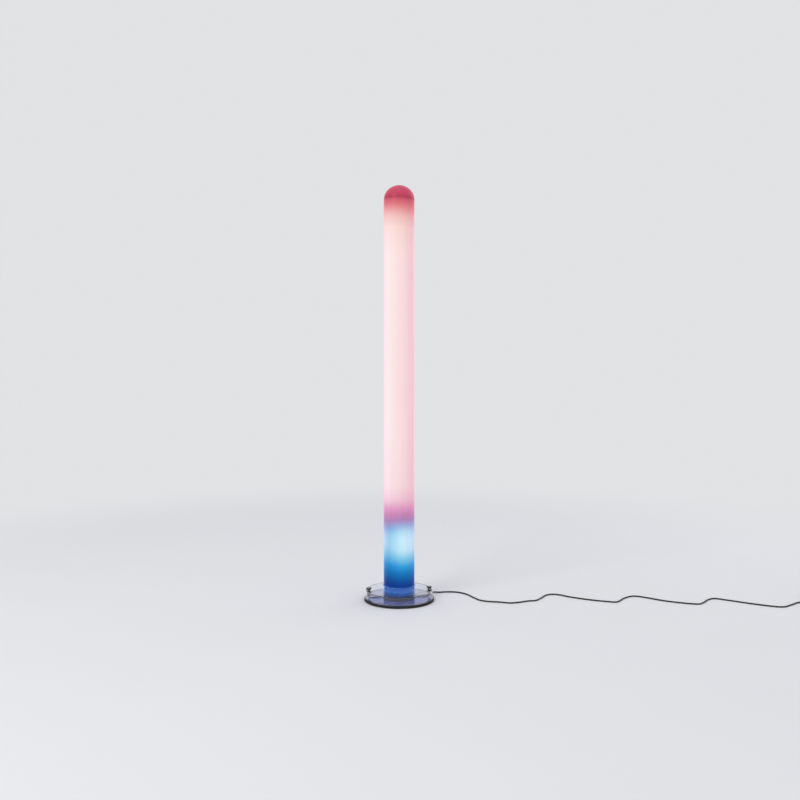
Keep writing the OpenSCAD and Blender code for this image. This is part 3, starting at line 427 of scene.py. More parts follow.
def throughPoints(points, steps):
    # points on the smooth curve through all the given ones
    curve = []
    for i in range(len(points) - 1):
        a, b, c, d = (points[min(max(i + k, 0), len(points) - 1)] for k in (-1, 0, 1, 2))
        for k in range(steps):
            t = k / steps
            bend = (2 * a - 5 * b + 4 * c - d) * t * t + (3 * b - a - 3 * c + d) * t**3
            curve.append(0.5 * (2 * b + (c - a) * t + bend))
    return curve + [points[-1]]


def coilPoint(turned):
    # a point of the stored coil, in degrees from its start: inwards on the floor, outwards again on top
    arc = 360 * lead["coilTurns"]
    fromMiddle = abs(turned - arc / 2)
    outer = lead["coilMean"] + lead["coilTurns"] * lead["coilPitch"] / 4
    r = outer - lead["coilPitch"] * (arc / 2 - fromMiddle) / 360
    a = math.radians(lead["coilStart"] + turned)
    up = smoothStep((turned - arc / 2) / 180 + 0.5) * lead["coilPitch"]
    return Vector(lead["coilAt"]) + Vector((r * math.cos(a), r * math.sin(a), up))


def leadPoints():
    # from inside the sleeve over the floor, round the coil and on to the plug
    radius = lead["diameter"] / 2
    out = turnedAt(places["lead"]).to_3x3() @ Vector((1, 0, 0))
    tip = Vector(lead["tip"])
    a = math.radians(lead["coilStart"])
    inwards = Vector((-math.sin(a), math.cos(a), 0))
    entry = coilPoint(0) - lead["diameter"] * inwards
    ramp = lead["ramp"] * inwards + Vector((0, 0, lead["coilAt"][2] - radius))
    onFloor = [Vector((x, y, radius)) for x, y in lead["route"]]
    start = Vector((tip.x, tip.y, radius))
    run = [start, start + lead["straight"] * out, *onFloor]
    run += [entry - ramp, entry - lead["leadIn"] * inwards, entry]
    run = throughPoints(run, lead["steps"])
    gone = 0
    for last, point in zip(run, run[1:]):  # down from the sleeve to the floor
        gone += (point - last).xy.length
        fallen = smoothStep((gone - lead["fallFrom"]) / lead["fall"])
        point.z = max(point.z, radius) + (tip.z - radius) * (1 - fallen)
    run[0].z = tip.z
    rings = round(lead["coilTurns"] * lead["coilRings"])
    step = 360 / lead["coilRings"] / lead["coilSteps"]
    coil = [coilPoint(k * step) for k in range(rings * lead["coilSteps"] + 1)]
    b = math.radians(lead["coilStart"] + rings * 360 / lead["coilRings"])
    outwardsAlong = Vector((-math.sin(b), math.cos(b), 0))
    tail = []
    for k in range(1, lead["tailSteps"] + 1):
        t = k / lead["tailSteps"] * lead["tail"]
        share = (t - lead["diameter"]) / (lead["tail"] - 2 * lead["diameter"])
        drop = smoothStep(share) * (lead["plugHeight"] - coil[-1].z)
        tail.append(coil[-1] + outwardsAlong * t + Vector((0, 0, drop)))
    return [tip - lead["inside"] * out] + run + coil + tail


def makeLead(material):
    points = leadPoints()
    curve = bpy.data.curves.new("mainsLead", "CURVE")
    curve.dimensions = "3D"
    curve.bevel_depth = lead["diameter"] / 2 * mm
    curve.bevel_resolution = 5
    curve.use_fill_caps = True
    spline = curve.splines.new("POLY")
    spline.points.add(len(points) - 1)
    for point, place in zip(spline.points, points):
        point.co = (*(place * mm), 1)
    spline.use_smooth = True
    curve.materials.append(material)
    piece = bpy.data.objects.new("mainsLead", curve)
    scene.collection.objects.link(piece)
    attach(piece, "root")
    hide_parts("cord_run", "cord_coil")
    return piece


# colours of the clouds, their scale and the grain's, roughness, and depth of the relief in metres
looks = {
    # dark rubber and soft plastics
    "footRubber": {
        "colors": ((0.007, 0.007, 0.011), (0.026, 0.026, 0.033)), "clouds": 28, "grain": 1400,
        "roughness": (0.52, 0.78), "depth": 0.00006, "constants": {"Specular IOR Level": 0.3},
    },
    # painted glow: the rubber gasket gives off a raspberry light of its own, standing in for the lamp light
    # that falls on it
    "glowingGasketRubber": {
        "colors": ((0.085, 0.010, 0.022), (0.13, 0.016, 0.034)), "clouds": 60, "grain": 1800,
        "roughness": (0.5, 0.7), "depth": 0.00003,
        "constants": {"Emission Color": (0.33, 0.022, 0.05, 1), "Emission Strength": 0.8},
    },
    "leadSheath": {
        "colors": ((0.006, 0.006, 0.008), (0.020, 0.020, 0.024)), "clouds": 35, "grain": 1500,
        "roughness": (0.34, 0.52), "depth": 0.00002, "constants": {"Specular IOR Level": 0.32},
    },
    "plugMoulding": {
        "colors": ((0.008, 0.008, 0.010), (0.024, 0.024, 0.028)), "clouds": 60, "grain": 1600,
        "roughness": (0.38, 0.56), "depth": 0.00003, "constants": {"Specular IOR Level": 0.34},
    },
    "knobGloss": {
        "colors": ((0.008, 0.008, 0.010), (0.020, 0.020, 0.024)), "clouds": 80, "grain": 900,
        "roughness": (0.14, 0.28), "depth": 0.00001,
        "constants": {"Coat Weight": 0.3, "Coat Roughness": 0.08},
    },
    "controlCase": {
        "colors": ((0.016, 0.018, 0.024), (0.045, 0.048, 0.058)), "clouds": 90, "grain": 1500,
        "roughness": (0.40, 0.58), "depth": 0.00001,
    },
    "moduleCase": {
        "colors": ((0.40, 0.41, 0.42), (0.52, 0.53, 0.54)), "clouds": 25, "grain": 1200,
        "roughness": (0.45, 0.6), "depth": 0.00004,
    },
    "holderMoulding": {
        "colors": ((0.66, 0.66, 0.62), (0.80, 0.80, 0.77)), "clouds": 40, "grain": 1100,
        "roughness": (0.34, 0.5), "depth": 0.00003,
    },
    "terminalNylon": {
        "colors": ((0.58, 0.56, 0.48), (0.70, 0.68, 0.61)), "clouds": 70, "grain": 1300,
        "roughness": (0.4, 0.58), "depth": 0.00003,
    },
    "spinePlugNylon": {
        "colors": ((0.012, 0.012, 0.014), (0.03, 0.03, 0.034)), "clouds": 70, "grain": 1300,
        "roughness": (0.45, 0.6), "depth": 0.00003,
    },
    "whiteDeck": {
        "colors": ((0.68, 0.68, 0.67), (0.82, 0.82, 0.81)), "clouds": 18, "grain": 900,
        "roughness": (0.35, 0.5), "depth": 0.00003,
    },
    # paint
    "castBoxPaint": {
        "colors": ((0.010, 0.011, 0.018), (0.030, 0.032, 0.044)), "clouds": 30, "grain": 700,
        "roughness": (0.42, 0.62), "depth": 0.00012,
    },
    "ballastPaint": {
        "colors": ((0.62, 0.62, 0.58), (0.74, 0.74, 0.71)), "clouds": 15, "grain": 600,
        "roughness": (0.3, 0.42), "depth": 0.00005,
    },
    # metals
    "zincSteel": {
        "colors": ((0.42, 0.43, 0.44), (0.66, 0.66, 0.66)), "clouds": 120, "grain": 900,
        "roughness": (0.26, 0.44), "depth": 0.00002, "constants": {"Metallic": 1},
    },
    "blackenedSteel": {
        "colors": ((0.020, 0.020, 0.024), (0.060, 0.060, 0.066)), "clouds": 150, "grain": 1200,
        "roughness": (0.28, 0.42), "depth": 0.00002, "constants": {"Metallic": 1},
    },
    "turnedSteel": {
        "colors": ((0.50, 0.51, 0.53), (0.68, 0.69, 0.70)), "clouds": 200, "grain": 2400,
        "roughness": (0.2, 0.36), "depth": 0.00001, "stretch": (1, 1, 12), "constants": {"Metallic": 1},
    },
    "sheetAluminium": {
        "colors": ((0.58, 0.59, 0.61), (0.72, 0.73, 0.74)), "clouds": 40, "grain": 1500,
        "roughness": (0.28, 0.44), "depth": 0.00002, "stretch": (18, 1, 1), "constants": {"Metallic": 1},
    },
    "spineAluminium": {
        "colors": ((0.62, 0.63, 0.65), (0.76, 0.77, 0.78)), "clouds": 30, "grain": 1600,
        "roughness": (0.24, 0.38), "depth": 0.00002, "stretch": (14, 14, 1), "constants": {"Metallic": 1},
    },
    "lampMetal": {
        "colors": ((0.60, 0.61, 0.62), (0.74, 0.74, 0.75)), "clouds": 160, "grain": 1800,
        "roughness": (0.2, 0.34), "depth": 0.00001, "constants": {"Metallic": 1},
    },
    "pinNickel": {
        "colors": ((0.60, 0.57, 0.50), (0.76, 0.73, 0.66)), "clouds": 200, "grain": 1500,
        "roughness": (0.12, 0.24), "depth": 0.000006, "constants": {"Metallic": 1},
    },
}


# how clouds and grain add up to wear, and how strongly the grain shows
surface = {"cloudShare": 0.7, "grainShare": 0.3, "worn": (0.34, 0.66), "relief": 0.6}


def surfaceFinish(name, look):
    # clouds of slightly different colour and gloss, with a fine grain in relief
    finish = Finish(name, look.get("constants"))
    clouds = finish.noise(look["clouds"], 4)
    grain = finish.noise(look["grain"], 2, look.get("stretch"))
    wear = (clouds * surface["cloudShare"] + grain * surface["grainShare"]).rise(*surface["worn"])
    low, high = look["roughness"]
    finish.set({
        "Base Color": finish.mix(wear, *look["colors"]),
        "Roughness": wear * (high - low) + low,
        "Normal": finish.bump(grain, look["depth"], surface["relief"]),
    })
    return finish.material


finishes = {name: surfaceFinish(name, look) for name, look in looks.items()}


# wipe marks and dust on all the clear pieces
clear = {
    "ior": 1.49, "wipeStretch": (1, 1, 5), "wipeEdges": (0.4, 0.75), "wipeDepth": 0.00002, "wipeRelief": 0.25,
    "dustScale": 900, "dustEdges": (0.62, 0.8), "dustAmount": 0.25, "dustColor": (0.80, 0.84, 0.90),
}


def clearFinish(name, look):
    # polished clear plastic with faint wipe marks and light caught in it near the tube
    finish = Finish(name, {"Transmission Weight": 1.0, "IOR": clear["ior"], "Emission Strength": 1.0})
    wipes = finish.noise(look["wipes"], 3, clear["wipeStretch"]).rise(*clear["wipeEdges"])
    dust = finish.noise(clear["dustScale"], 2).rise(*clear["dustEdges"])
    x, y = finish.axis("X"), finish.axis("Y")
    distance = (x * x + y * y).math("SQRT")
    nearTube = 1 - distance.rise(*look["caught"])
    finish.set({
        "Base Color": finish.mix(dust * clear["dustAmount"], look["tint"], clear["dustColor"]),
        "Roughness": wipes * look["wiped"] + look["polish"],
        "Emission Color": finish.mix(nearTube, (0, 0, 0), look["glow"]),
        "Normal": finish.bump(wipes, clear["wipeDepth"], clear["wipeRelief"]),
    })
    finish.letLightThrough(look["shade"])
    return finish.material


clearLooks = {
    "clearPlate": {
        # the plate's deep blue-violet tint is partly its own colour and partly painted light and shade: it
        # stands in for the blue lamp light and the dark reflections on the base
        "tint": (0.42, 0.45, 0.74), "wipes": 25, "polish": 0.01, "wiped": 0.05, "caught": (0.06, 0.15),
        "glow": (0.0005, 0.004, 0.030), "shade": (0.70, 0.73, 0.95),
    },
    "clearCover": {
        "tint": (0.92, 0.94, 0.99), "wipes": 22, "polish": 0.01, "wiped": 0.04, "caught": (0.066, 0.11),
        "glow": (0.0005, 0.005, 0.028), "shade": (0.88, 0.90, 0.95),
    },
    "clearCollar": {
        "tint": (0.84, 0.92, 0.99), "wipes": 30, "polish": 0.01, "wiped": 0.04, "caught": (0.066, 0.075),
        "glow": (0.0, 0.022, 0.075), "shade": (0.88, 0.92, 0.97),
    },
}
finishes.update({name: clearFinish(name, look) for name, look in clearLooks.items()})

glow = {
    "radius": 0.0665, "height": 1.8,
    # light on the wall of the tube, from the floor up: heights in metres, linear colours
    "tubeStops": [
        (0.050, (0.010, 0.080, 0.330)), (0.072, (0.002, 0.042, 0.260)), (0.092, (0.003, 0.075, 0.330)),
        (0.128, (0.004, 0.190, 0.500)), (0.158, (0.030, 0.340, 0.720)), (0.192, (0.240, 0.600, 0.820)),
        (0.226, (0.560, 0.820, 0.940)), (0.270, (0.620, 0.860, 0.990)), (0.306, (0.480, 0.740, 0.920)),
        (0.332, (0.350, 0.450, 0.730)), (0.356, (0.420, 0.235, 0.490)), (0.382, (0.590, 0.240, 0.460)),
        (0.412, (0.790, 0.370, 0.610)), (0.445, (0.910, 0.640, 0.770)), (0.500, (0.980, 0.790, 0.850)),
        (0.700, (1.000, 0.840, 0.870)), (1.500, (1.000, 0.840, 0.850)), (1.610, (0.980, 0.770, 0.750)),
        (1.661, (0.920, 0.570, 0.560)), (1.689, (0.840, 0.335, 0.355)), (1.711, (0.720, 0.180, 0.210)),
        (1.733, (0.600, 0.092, 0.145)), (1.740, (0.440, 0.045, 0.090)),
    ],
    "domeStops": [
        (1.7410, (0.430, 0.036, 0.076)), (1.7460, (0.520, 0.052, 0.100)), (1.765, (0.580, 0.060, 0.122)),
        (1.788, (0.560, 0.066, 0.132)), (1.800, (0.500, 0.080, 0.145)),
    ],
    # light across the tube, from its left side to its right: the pink part and the blue one
    "acrossPink": [
        (0.00, (1.00, 0.80, 0.88)), (0.07, (1.00, 0.94, 0.95)), (0.15, (0.98, 0.96, 0.95)),
        (0.28, (0.95, 0.91, 0.88)), (0.50, (0.95, 0.87, 0.85)), (0.70, (0.94, 0.82, 0.82)),
        (0.86, (0.93, 0.74, 0.78)), (0.93, (0.95, 0.69, 0.75)), (1.00, (0.97, 0.68, 0.75)),
    ],
    "acrossBlue": [
        (0.00, (1.00, 0.92, 1.00)), (0.07, (0.92, 0.87, 0.98)), (0.17, (0.64, 0.78, 0.87)),
        (0.33, (0.70, 0.86, 0.94)), (0.50, (0.90, 0.98, 0.98)), (0.66, (1.00, 1.00, 1.00)),
        (0.88, (0.96, 0.95, 0.99)), (1.00, (0.97, 0.81, 0.95)),
    ],
    "pinkFrom": (0.36, 0.46), "pinkTo": (1.675, 1.735), "blueTo": (0.31, 0.36),
    # blue lamp: its height, how far it stands to the right, its width below and above, and the blend between
    "lampAt": 0.262, "lampSide": 0.35, "lampWidth": (0.036, 0.034), "lampBlend": 0.035,
    # first two values: painted side shading, how far the colour bands near the top tip from left to right,
    # and the heights where it sets in
    "lean": 0.06, "leanFrom": (1.55, 1.70), "paintedGlowInBase": 0.30, "sent": 0.74,
    # streaks along the tube, patches of less gloss, and the fine grain
    "streakScale": 70, "streakStretch": (1, 1, 0.04), "streak": 0.006, "flow": 0.03, "flowEdges": (0.2, 0.8),
    "patchScale": 40, "patchStretch": (1, 1, 0.2), "patch": 0.12,
    "grain": 1500, "depth": 0.00002, "relief": 0.3,
}


def opalFinish(name, stops, roughness, gloss):
    # opal plastic lit from inside: colour by height, drawn round the blue lamp in the foot
    finish = Finish(name, {"Specular IOR Level": gloss, "Emission Strength": glow["sent"]})
    x, z = finish.axis("X"), finish.axis("Z")
    across = x / glow["radius"]
    streaks = finish.noise(glow["streakScale"], 2, glow["streakStretch"])
    lampAt, blend = glow["lampAt"], glow["lampBlend"]
    # near the top the colour bands lie lower on one side and higher on the other, a painted side shading;
    # streaks wave them
    height = z + z.rise(*glow["leanFrom"]) * x * glow["lean"] + (streaks - 0.5) * glow["streak"]
    up, aside = height - lampAt, across - glow["lampSide"]

    def reach(width):
        return (up * up + aside * aside * width * width).math("SQRT")

    def ramp(steps, place):
        return finish.node("ShaderNodeValToRGB", {"stops": steps}, {0: place})

    def lightAt(place):
        return ramp([(h / glow["height"], color) for h, color in stops], place / glow["height"])

    upper = z.rise(lampAt - blend, lampAt + blend)
    below, above = (reach(width) for width in glow["lampWidth"])
    light = finish.mix(upper, lightAt(lampAt - below), lightAt(lampAt + above))
    for steps, amount in (
        ("acrossPink", z.rise(*glow["pinkFrom"]) * (1 - z.rise(*glow["pinkTo"]))),
        ("acrossBlue", 1 - z.rise(*glow["blueTo"])),
    ):
        sideLight = ramp(glow[steps], across * 0.5 + 0.5)
        light = finish.mix(amount, light, finish.mix(1, light, sideLight, "MULTIPLY"))
    flow = streaks.rise(*glow["flowEdges"]) * glow["flow"] + (1 - glow["flow"])
    gray = finish.node("ShaderNodeCombineColor", None, {0: flow, 1: flow, 2: flow})
    light = finish.mix(1, light, gray, "MULTIPLY")
    # the base colour is the painted light at a lower level, so the glow's bands and its side-to-side light
    # show in it as well
    finish.set({
        "Base Color": finish.mix(1, light, (glow["paintedGlowInBase"],) * 3, "MULTIPLY"),
        "Emission Color": light,
        "Roughness": finish.noise(glow["patchScale"], 3, glow["patchStretch"]) * glow["patch"] + roughness,
        "Normal": finish.bump(finish.noise(glow["grain"], 2), glow["depth"], glow["relief"]),
    })
    return finish.material


finishes["opalTube"] = opalFinish("opalTube", glow["tubeStops"], 0.28, 0.12)
finishes["opalDome"] = opalFinish("opalDome", glow["domeStops"], 0.27, 0.20)


# coat of the lamp glasses
glass = {"clouds": 60, "edges": (0.3, 0.7), "darker": 0.85, "dimmer": 0.92, "roughness": (0.2, 0.3)}


def glassFinish(name, color, light, strength):
    # coated lamp glass: the coat is a little thicker in places
    finish = Finish(name, {"Emission Strength": strength, "Coat Weight": 0.6, "Coat Roughness": 0.05})
    coat = finish.noise(glass["clouds"], 3).rise(*glass["edges"])
    low, high = glass["roughness"]
    finish.set({
        "Base Color": finish.mix(coat, color, tuple(glass["darker"] * c for c in color)),
        "Emission Color": finish.mix(coat, light, tuple(glass["dimmer"] * c for c in light)),
        "Roughness": coat * (high - low) + low,
    })
    return finish.material


finishes["blueGlass"] = glassFinish("blueGlass", (0.05, 0.18, 0.6), (0.45, 0.8, 1.0), 1.2)
finishes["longLampGlass"] = glassFinish("longLampGlass", (0.8, 0.7, 0.72), (1.0, 0.8, 0.84), 1.3)


strap = {
    "threads": 900, "colors": ((0.012, 0.012, 0.015), (0.045, 0.045, 0.052)), "roughness": (0.75, 0.90),
    "depth": 0.0001, "relief": 0.8,
}


def strapFinish():
    # woven strap: two sets of threads, dark
    finish = Finish("strapWeave", {"Sheen Weight": 0.3})
    along, across = (
        finish.node("ShaderNodeTexWave", {"bands_direction": way}, {
            "Vector": finish.place, "Scale": strap["threads"],
        })
        for way in ("X", "Z")
    )
    weave = along * across
    low, high = strap["roughness"]
    finish.set({
        "Base Color": finish.mix(weave, *strap["colors"]),
        "Roughness": weave * (high - low) + low,
        "Normal": finish.bump(weave, strap["depth"], strap["relief"]),
    })
    return finish.material


finishes["strapWeave"] = strapFinish()
print("finishes:", len(finishes))


# in the pieces below a section is a list of corners (radius, height, rounding), in mm


def makeTube():
    tube = {"section": [(63.5, 33, 0.5), (66.5, 33, 0.5), (66.5, 1740.3, 0.5), (63.5, 1740.3, 0.5)]}
    mesh = turnedMesh("opalTube", filleted(tube["section"], 3))
    piece = addPiece("opalTube", mesh, "root", finishes["opalTube"])
    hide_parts("diffuser_tube")


def makeDome():
    dome = {
        "radius": 65.9, "rise": 58.5, "shoulder": 50, "wall": 3, "seam": 1741.5, "around": 161, "up": 49,
        "spigot": [
            (60.1, 1723.5, 0.5), (63.1, 1723.5, 0.5), (63.1, 1741.45, 0), (63.1, 1743, 0), (60.1, 1743, 0),
        ],
        "fingers": 6, "slot": ((55.1, -2, 1722.5), (68.1, 2, 1738.5)),
    }
    finish = finishes["opalDome"]
    shape = bmesh.new()
    for inset in (0, dome["wall"]):
        shape.from_mesh(grown(bpy.data.meshes.new("dome"), domeShell, {
            "Radius": (dome["radius"] - inset) * mm, "Rise": (dome["rise"] - inset) * mm,
            "Shoulder": (dome["shoulder"] - inset) * mm, "Base height": dome["seam"] * mm,
            "Around": dome["around"], "Up": dome["up"], "Finish": finish,
        }))
    # foot of the wall: the two shells joined point by point at the seam
    bmesh.ops.remove_doubles(shape, verts=shape.verts, dist=2 * touching)
    rims = [v for v in shape.verts if v.is_boundary]
    rims.sort(key=lambda v: round(math.degrees(math.atan2(v.co.y, v.co.x)), 2) % 360)
    middle = (dome["radius"] - dome["wall"] / 2) * mm
    outer, inner = ([v for v in rims if (v.co.xy.length > middle) == far] for far in (True, False))
    for i in range(len(outer)):
        shape.faces.new((outer[i - 1], outer[i], inner[i], inner[i - 1]))
    mesh = bpy.data.meshes.new("domeCap")
    shape.to_mesh(mesh)
    shape.free()
    piece = addPiece("domeCap", outwards(mesh), "dome", finish, 50)
    step = 360 / dome["fingers"]
    slots = [(boxMesh("slot", *dome["slot"]), turnedAt((k + 0.5) * step)) for k in range(dome["fingers"])]
    mesh = carved(turnedMesh("domeSpigot", filleted(dome["spigot"], 3), 120), slots)
    spigot = addPiece("domeSpigot", mesh, "dome", finish)
    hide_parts("dome_cap")
    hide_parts("dome_cap")


def makePlate():
    plate = {
        "section": [(32, 3.05, 0.4), (147, 3.05, 0.6), (147, 12.95, 0.6), (32, 12.95, 0.4)],
        "groove": ((30, -4.2, 1), (151, 4.2, 11.7)),
    }
    groove = boxMesh("groove", *plate["groove"])
    mesh = turnedMesh("clearPlate", filleted(plate["section"], 4))
    mesh = carved(mesh, [(groove, turnedAt(places["lead"]))])
    piece = addPiece("clearPlate", mesh, "root", finishes["clearPlate"])
    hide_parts("base_plate")


def makeCover():
    cover = {
        "section": [
            (145.5, 13, 0.2), (151, 13, 0.7), (151, 15.5, 1.2), (149, 15.5, 0.6),
            (143, 45, 2.5), (66.9, 45, 0.4), (66.9, 41, 0.4), (139, 41, 1),
        ],
        "drill": (4.05, 20), "drillFrom": 36,
    }
    bar = barMesh("hole", *cover["drill"])
    upright = Matrix.Rotation(-math.pi / 2, 4, "Y")
    cuts = [
        (bar.copy(), turnedAt(places[knob], places["knobOrbit"], cover["drillFrom"]) @ upright)
        for knob in ("leftKnob", "rightKnob")
    ]
    mesh = carved(turnedMesh("clearCover", filleted(cover["section"], 6)), cuts)
    piece = addPiece("clearCover", mesh, "root", finishes["clearCover"])
    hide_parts("base_cover")


def makeCollar():
    collar = {
        "section": [(66.9, 45.08, 0.2), (70.9, 45.08, 0.2), (70.9, 67.5, 1), (66.9, 67.5, 0.5)],
        "drill": (2.55, 20), "drillFrom": 61.9,
    }
    bar = barMesh("hole", *collar["drill"])
    cuts = [
        (bar.copy(), turnedAt(azimuth, collar["drillFrom"], places["screwHeight"]))
        for azimuth in places["screws"]
    ]
    mesh = carved(turnedMesh("clearCollar", filleted(collar["section"], 5)), cuts)
    piece = addPiece("clearCollar", mesh, "root", finishes["clearCollar"])
    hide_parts("tube_collar")


def makeCollarScrews():
    screw = {
        "radius": 2.5, "length": 5, "bevel": 0.4, "sharp": 1, "socket": 2.5, "socketDepth": 2.6,
        "start": 66.6,
    }
    shape = barMesh("setScrew", screw["radius"], screw["length"], 40)
    edge = bmesh.new()
    edge.from_mesh(shape)
    rims = [e for e in edge.edges if e.calc_face_angle(0) > screw["sharp"]]
    bmesh.ops.bevel(edge, geom=rims, offset=screw["bevel"] * mm, segments=2, affect="EDGES")
    edge.to_mesh(shape)
    edge.free()
    hexagon = barMesh("hexagon", screw["socket"] / 2 / math.cos(math.pi / 6), screw["length"], 6)
    shape = carved(shape, [(hexagon, turnedAt(0, screw["length"] - screw["socketDepth"]))])
    count, steel = len(places["screws"]), finishes["blackenedSteel"]
    mesh = grown(shape, ringOfCopies, {
        "Count": count, "First angle": math.radians(places["screws"][0]), "Step": 2 * math.pi / count,
        "Radius": screw["start"] * mm, "Height": places["screwHeight"] * mm, "Finish": steel,
    })
    piece = addPiece("collarSetScrews", mesh, "root", steel)
    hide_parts("collar_screws")


def makeKnob(name, body, node):
    knob = {
        "section": [
            (6.02, 46.2, 0.2), (7, 46.2, 0.3), (7, 48.8, 0.9), (11.35, 50.8, 0.4), (11.35, 55.4, 0.9),
            (9.85, 55.4, 0.3), (0.01, 54.95, 0), (0.01, 48.4, 0), (6.02, 48.4, 0.2),
        ],
        "pointer": ((7, -0.45, 54.5), (10.6, 0.45, 60)),
        "ribs": 30, "rib": (0.64, 3.3), "ribOrbit": 11.33, "ribFoot": 51.2,
    }
    pointer = boxMesh("slot", *knob["pointer"])
    turned = turnedMesh("knobBody", filleted(knob["section"], 4), 96)
    turned = carved(turned, [(pointer, Matrix.Identity(4))])
    rib = barMesh("gripRib", *knob["rib"], 10)
    rib.transform(Matrix.Rotation(-math.pi / 2, 4, "Y"))
    ribs = grown(rib, ringOfCopies, {
        "Count": knob["ribs"], "First angle": 0.0, "Step": 2 * math.pi / knob["ribs"],
        "Radius": knob["ribOrbit"] * mm, "Height": knob["ribFoot"] * mm, "Finish": finishes["knobGloss"],
    })
    mesh = joined(name, turned, ribs, turnedAt(places[name], places["knobOrbit"]))
    piece = addPiece(name, mesh, body, finishes["knobGloss"])
    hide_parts(node)


def makeTie():
    # strap round the bundle of turns, its end lapped over itself on top
    tie = {
        "azimuth": 170, "inner": 23.16, "outer": 45.44, "height": 16, "thick": 1.2, "width": 8, "corner": 4.6,
        "edge": 0.4, "round": (0.35, 0.65),
        "lap": 1.0, "lapEnds": (-7.5, 4.5), "lapSlope": 1.0, "close": 0.01,
    }
    halfLong, halfHigh = (tie["outer"] - tie["inner"]) / 2 + tie["thick"], tie["height"] / 2
    (left, right), slope = tie["lapEnds"], tie["lapSlope"]
    loops = []
    for inset in (0, tie["thick"]):
        x, y, r = halfLong - inset, halfHigh - inset, tie["corner"] - inset
        top = [(a, y, 0) for a in (right, right - slope, left + slope, left)]
        loops.append(filleted([(x, y, r), *top, (-x, y, r), (-x, -y, r), (x, -y, r)], 6))
    side, edge, close = tie["width"] / 2, tie["edge"], tie["close"]
    # share of the thickness and place across the strap, round its own section
    low, high = tie["round"]
    section = [(0, edge - side), (0, side - edge), (low, side), (high, side)]
    section += [(1, side - edge), (1, edge - side), (high, -side), (low, -side)]
    corners, faces = [], []
    for outer, inner in zip(*loops):
        lapped = outer.y > 0 and left + slope - close < outer.x < right - slope + close
        for share, across in section:
            point = inner.lerp(outer, share)
            lift = tie["lap"] * share * lapped
            corners.append((point.x * mm, across * mm, (point.y + lift) * mm))
    count, total = len(section), len(loops[0])
    for i in range(total):
        for k in range(count):
            near, far, up = i * count, (i + 1) % total * count, (k + 1) % count
            faces.append((near + k, near + up, far + up, far + k))
    mesh = bpy.data.meshes.new("coilTie")
    mesh.from_pydata(corners, [], faces)
    x, y = lead["coilAt"][:2]
    middle = turnedAt(tie["azimuth"], (tie["inner"] + tie["outer"]) / 2, halfHigh)
    mesh.transform(Matrix.Translation((x * mm, y * mm, 0)) @ middle)
    piece = addPiece("coilTie", outwards(mesh), "root", finishes["strapWeave"], 50)
    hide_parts("coil_tie")
    return piece


def makeSleeve():
    # tapered sleeve with a flange on the foot ring, and ribs that let it bend; heights are along its axis
    sleeve = {
        "section": [
            (3.12, 142, 0), (3.8, 142, 0.3), (3.8, 151.55, 0), (6, 151.55, 0.4),
            (6, 153.95, 0.8), (4.3, 153.95, 0.6), (3.45, 180, 0.3), (3.12, 180, 0.1),
        ],
        "rib": [(3.3, -0.75, 0), (4.75, -0.75, 0.4), (4.75, 0.75, 0.4), (3.3, 0.75, 0)],
        "ribs": 5, "ribPitch": 4.1, "ribStart": 157.2, "lastRib": 0.84,
    }
    lying = Matrix.Rotation(math.pi / 2, 4, "Y")
    mesh = turnedMesh("leadSleeve", filleted(sleeve["section"], 4), 64)
    mesh.transform(lying)
    ring = turnedMesh("sleeveRib", filleted(sleeve["rib"], 4), 48)
    ring.transform(lying)
    ribs = grown(ring, rowOfCopies, {
        "Count": sleeve["ribs"], "Start": sleeve["ribStart"] * mm, "Pitch": sleeve["ribPitch"] * mm,
        "First size": 1.0, "Last size": sleeve["lastRib"], "Finish": finishes["plugMoulding"],
    })
    mesh = joined("leadSleeve", mesh, ribs, turnedAt(places["lead"], 0, places["leadHeight"]))
    piece = addPiece("leadSleeve", mesh, "root", finishes["plugMoulding"])
    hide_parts("strain_relief")


makeTube()
makeDome()
makePlate()
makeCover()
makeCollar()
makeCollarScrews()
makeKnob("leftKnob", "left_knob", "knob_left")
makeKnob("rightKnob", "right_knob", "knob_right")
makeSleeve()
mainsLead = makeLead(finishes["leadSheath"])
coilTie = makeTie()
print("pieces made")

# finishes of the CAD nodes that stay
nodeFinishes = {
    "footRubber": ["foot_ring"],
    "glowingGasketRubber": ["cap_gasket"],
    "blackenedSteel": ["clamp_disc"],
    "zincSteel": [
        "clamp_screws", "control_nuts", "pillars", "pillar_nuts", "spine_foot_screws",
        "ballast_screws", "top_screw",
    ],
    "castBoxPaint": ["wiring_box"],
    "terminalNylon": ["terminal_block"],
    "leadSheath": ["inner_lead", "control_leads", "gear_leads", "lamp_loom"],
    "controlCase": ["dimmer_control_left", "dimmer_control_right"],
    "turnedSteel": ["spindle_left", "spindle_right"],
    "moduleCase": ["dimmer_module_left", "dimmer_module_right"],
    "sheetAluminium": ["gear_deck"],
    "holderMoulding": ["blue_lampholder", "lower_lampholders", "upper_lampholders"],
    "lampMetal": ["blue_lamp_cap", "long_lamp_caps"],
    "blueGlass": ["blue_lamp_glass"],
    "longLampGlass": ["long_lamp_glass"],
    "clearPlate": ["lamp_deck"],
    "spineAluminium": ["spine_foot", "spine"],
    "ballastPaint": ["ballast"],
    "spinePlugNylon": ["spine_plug"],
    "whiteDeck": ["top_deck"],
    "plugMoulding": ["plug_body"],
    "pinNickel": ["plug_pins"],
}
for name, members in nodeFinishes.items():
    for node in members:
        nodes[node].data.materials.clear()
        nodes[node].data.materials.append(finishes[name])

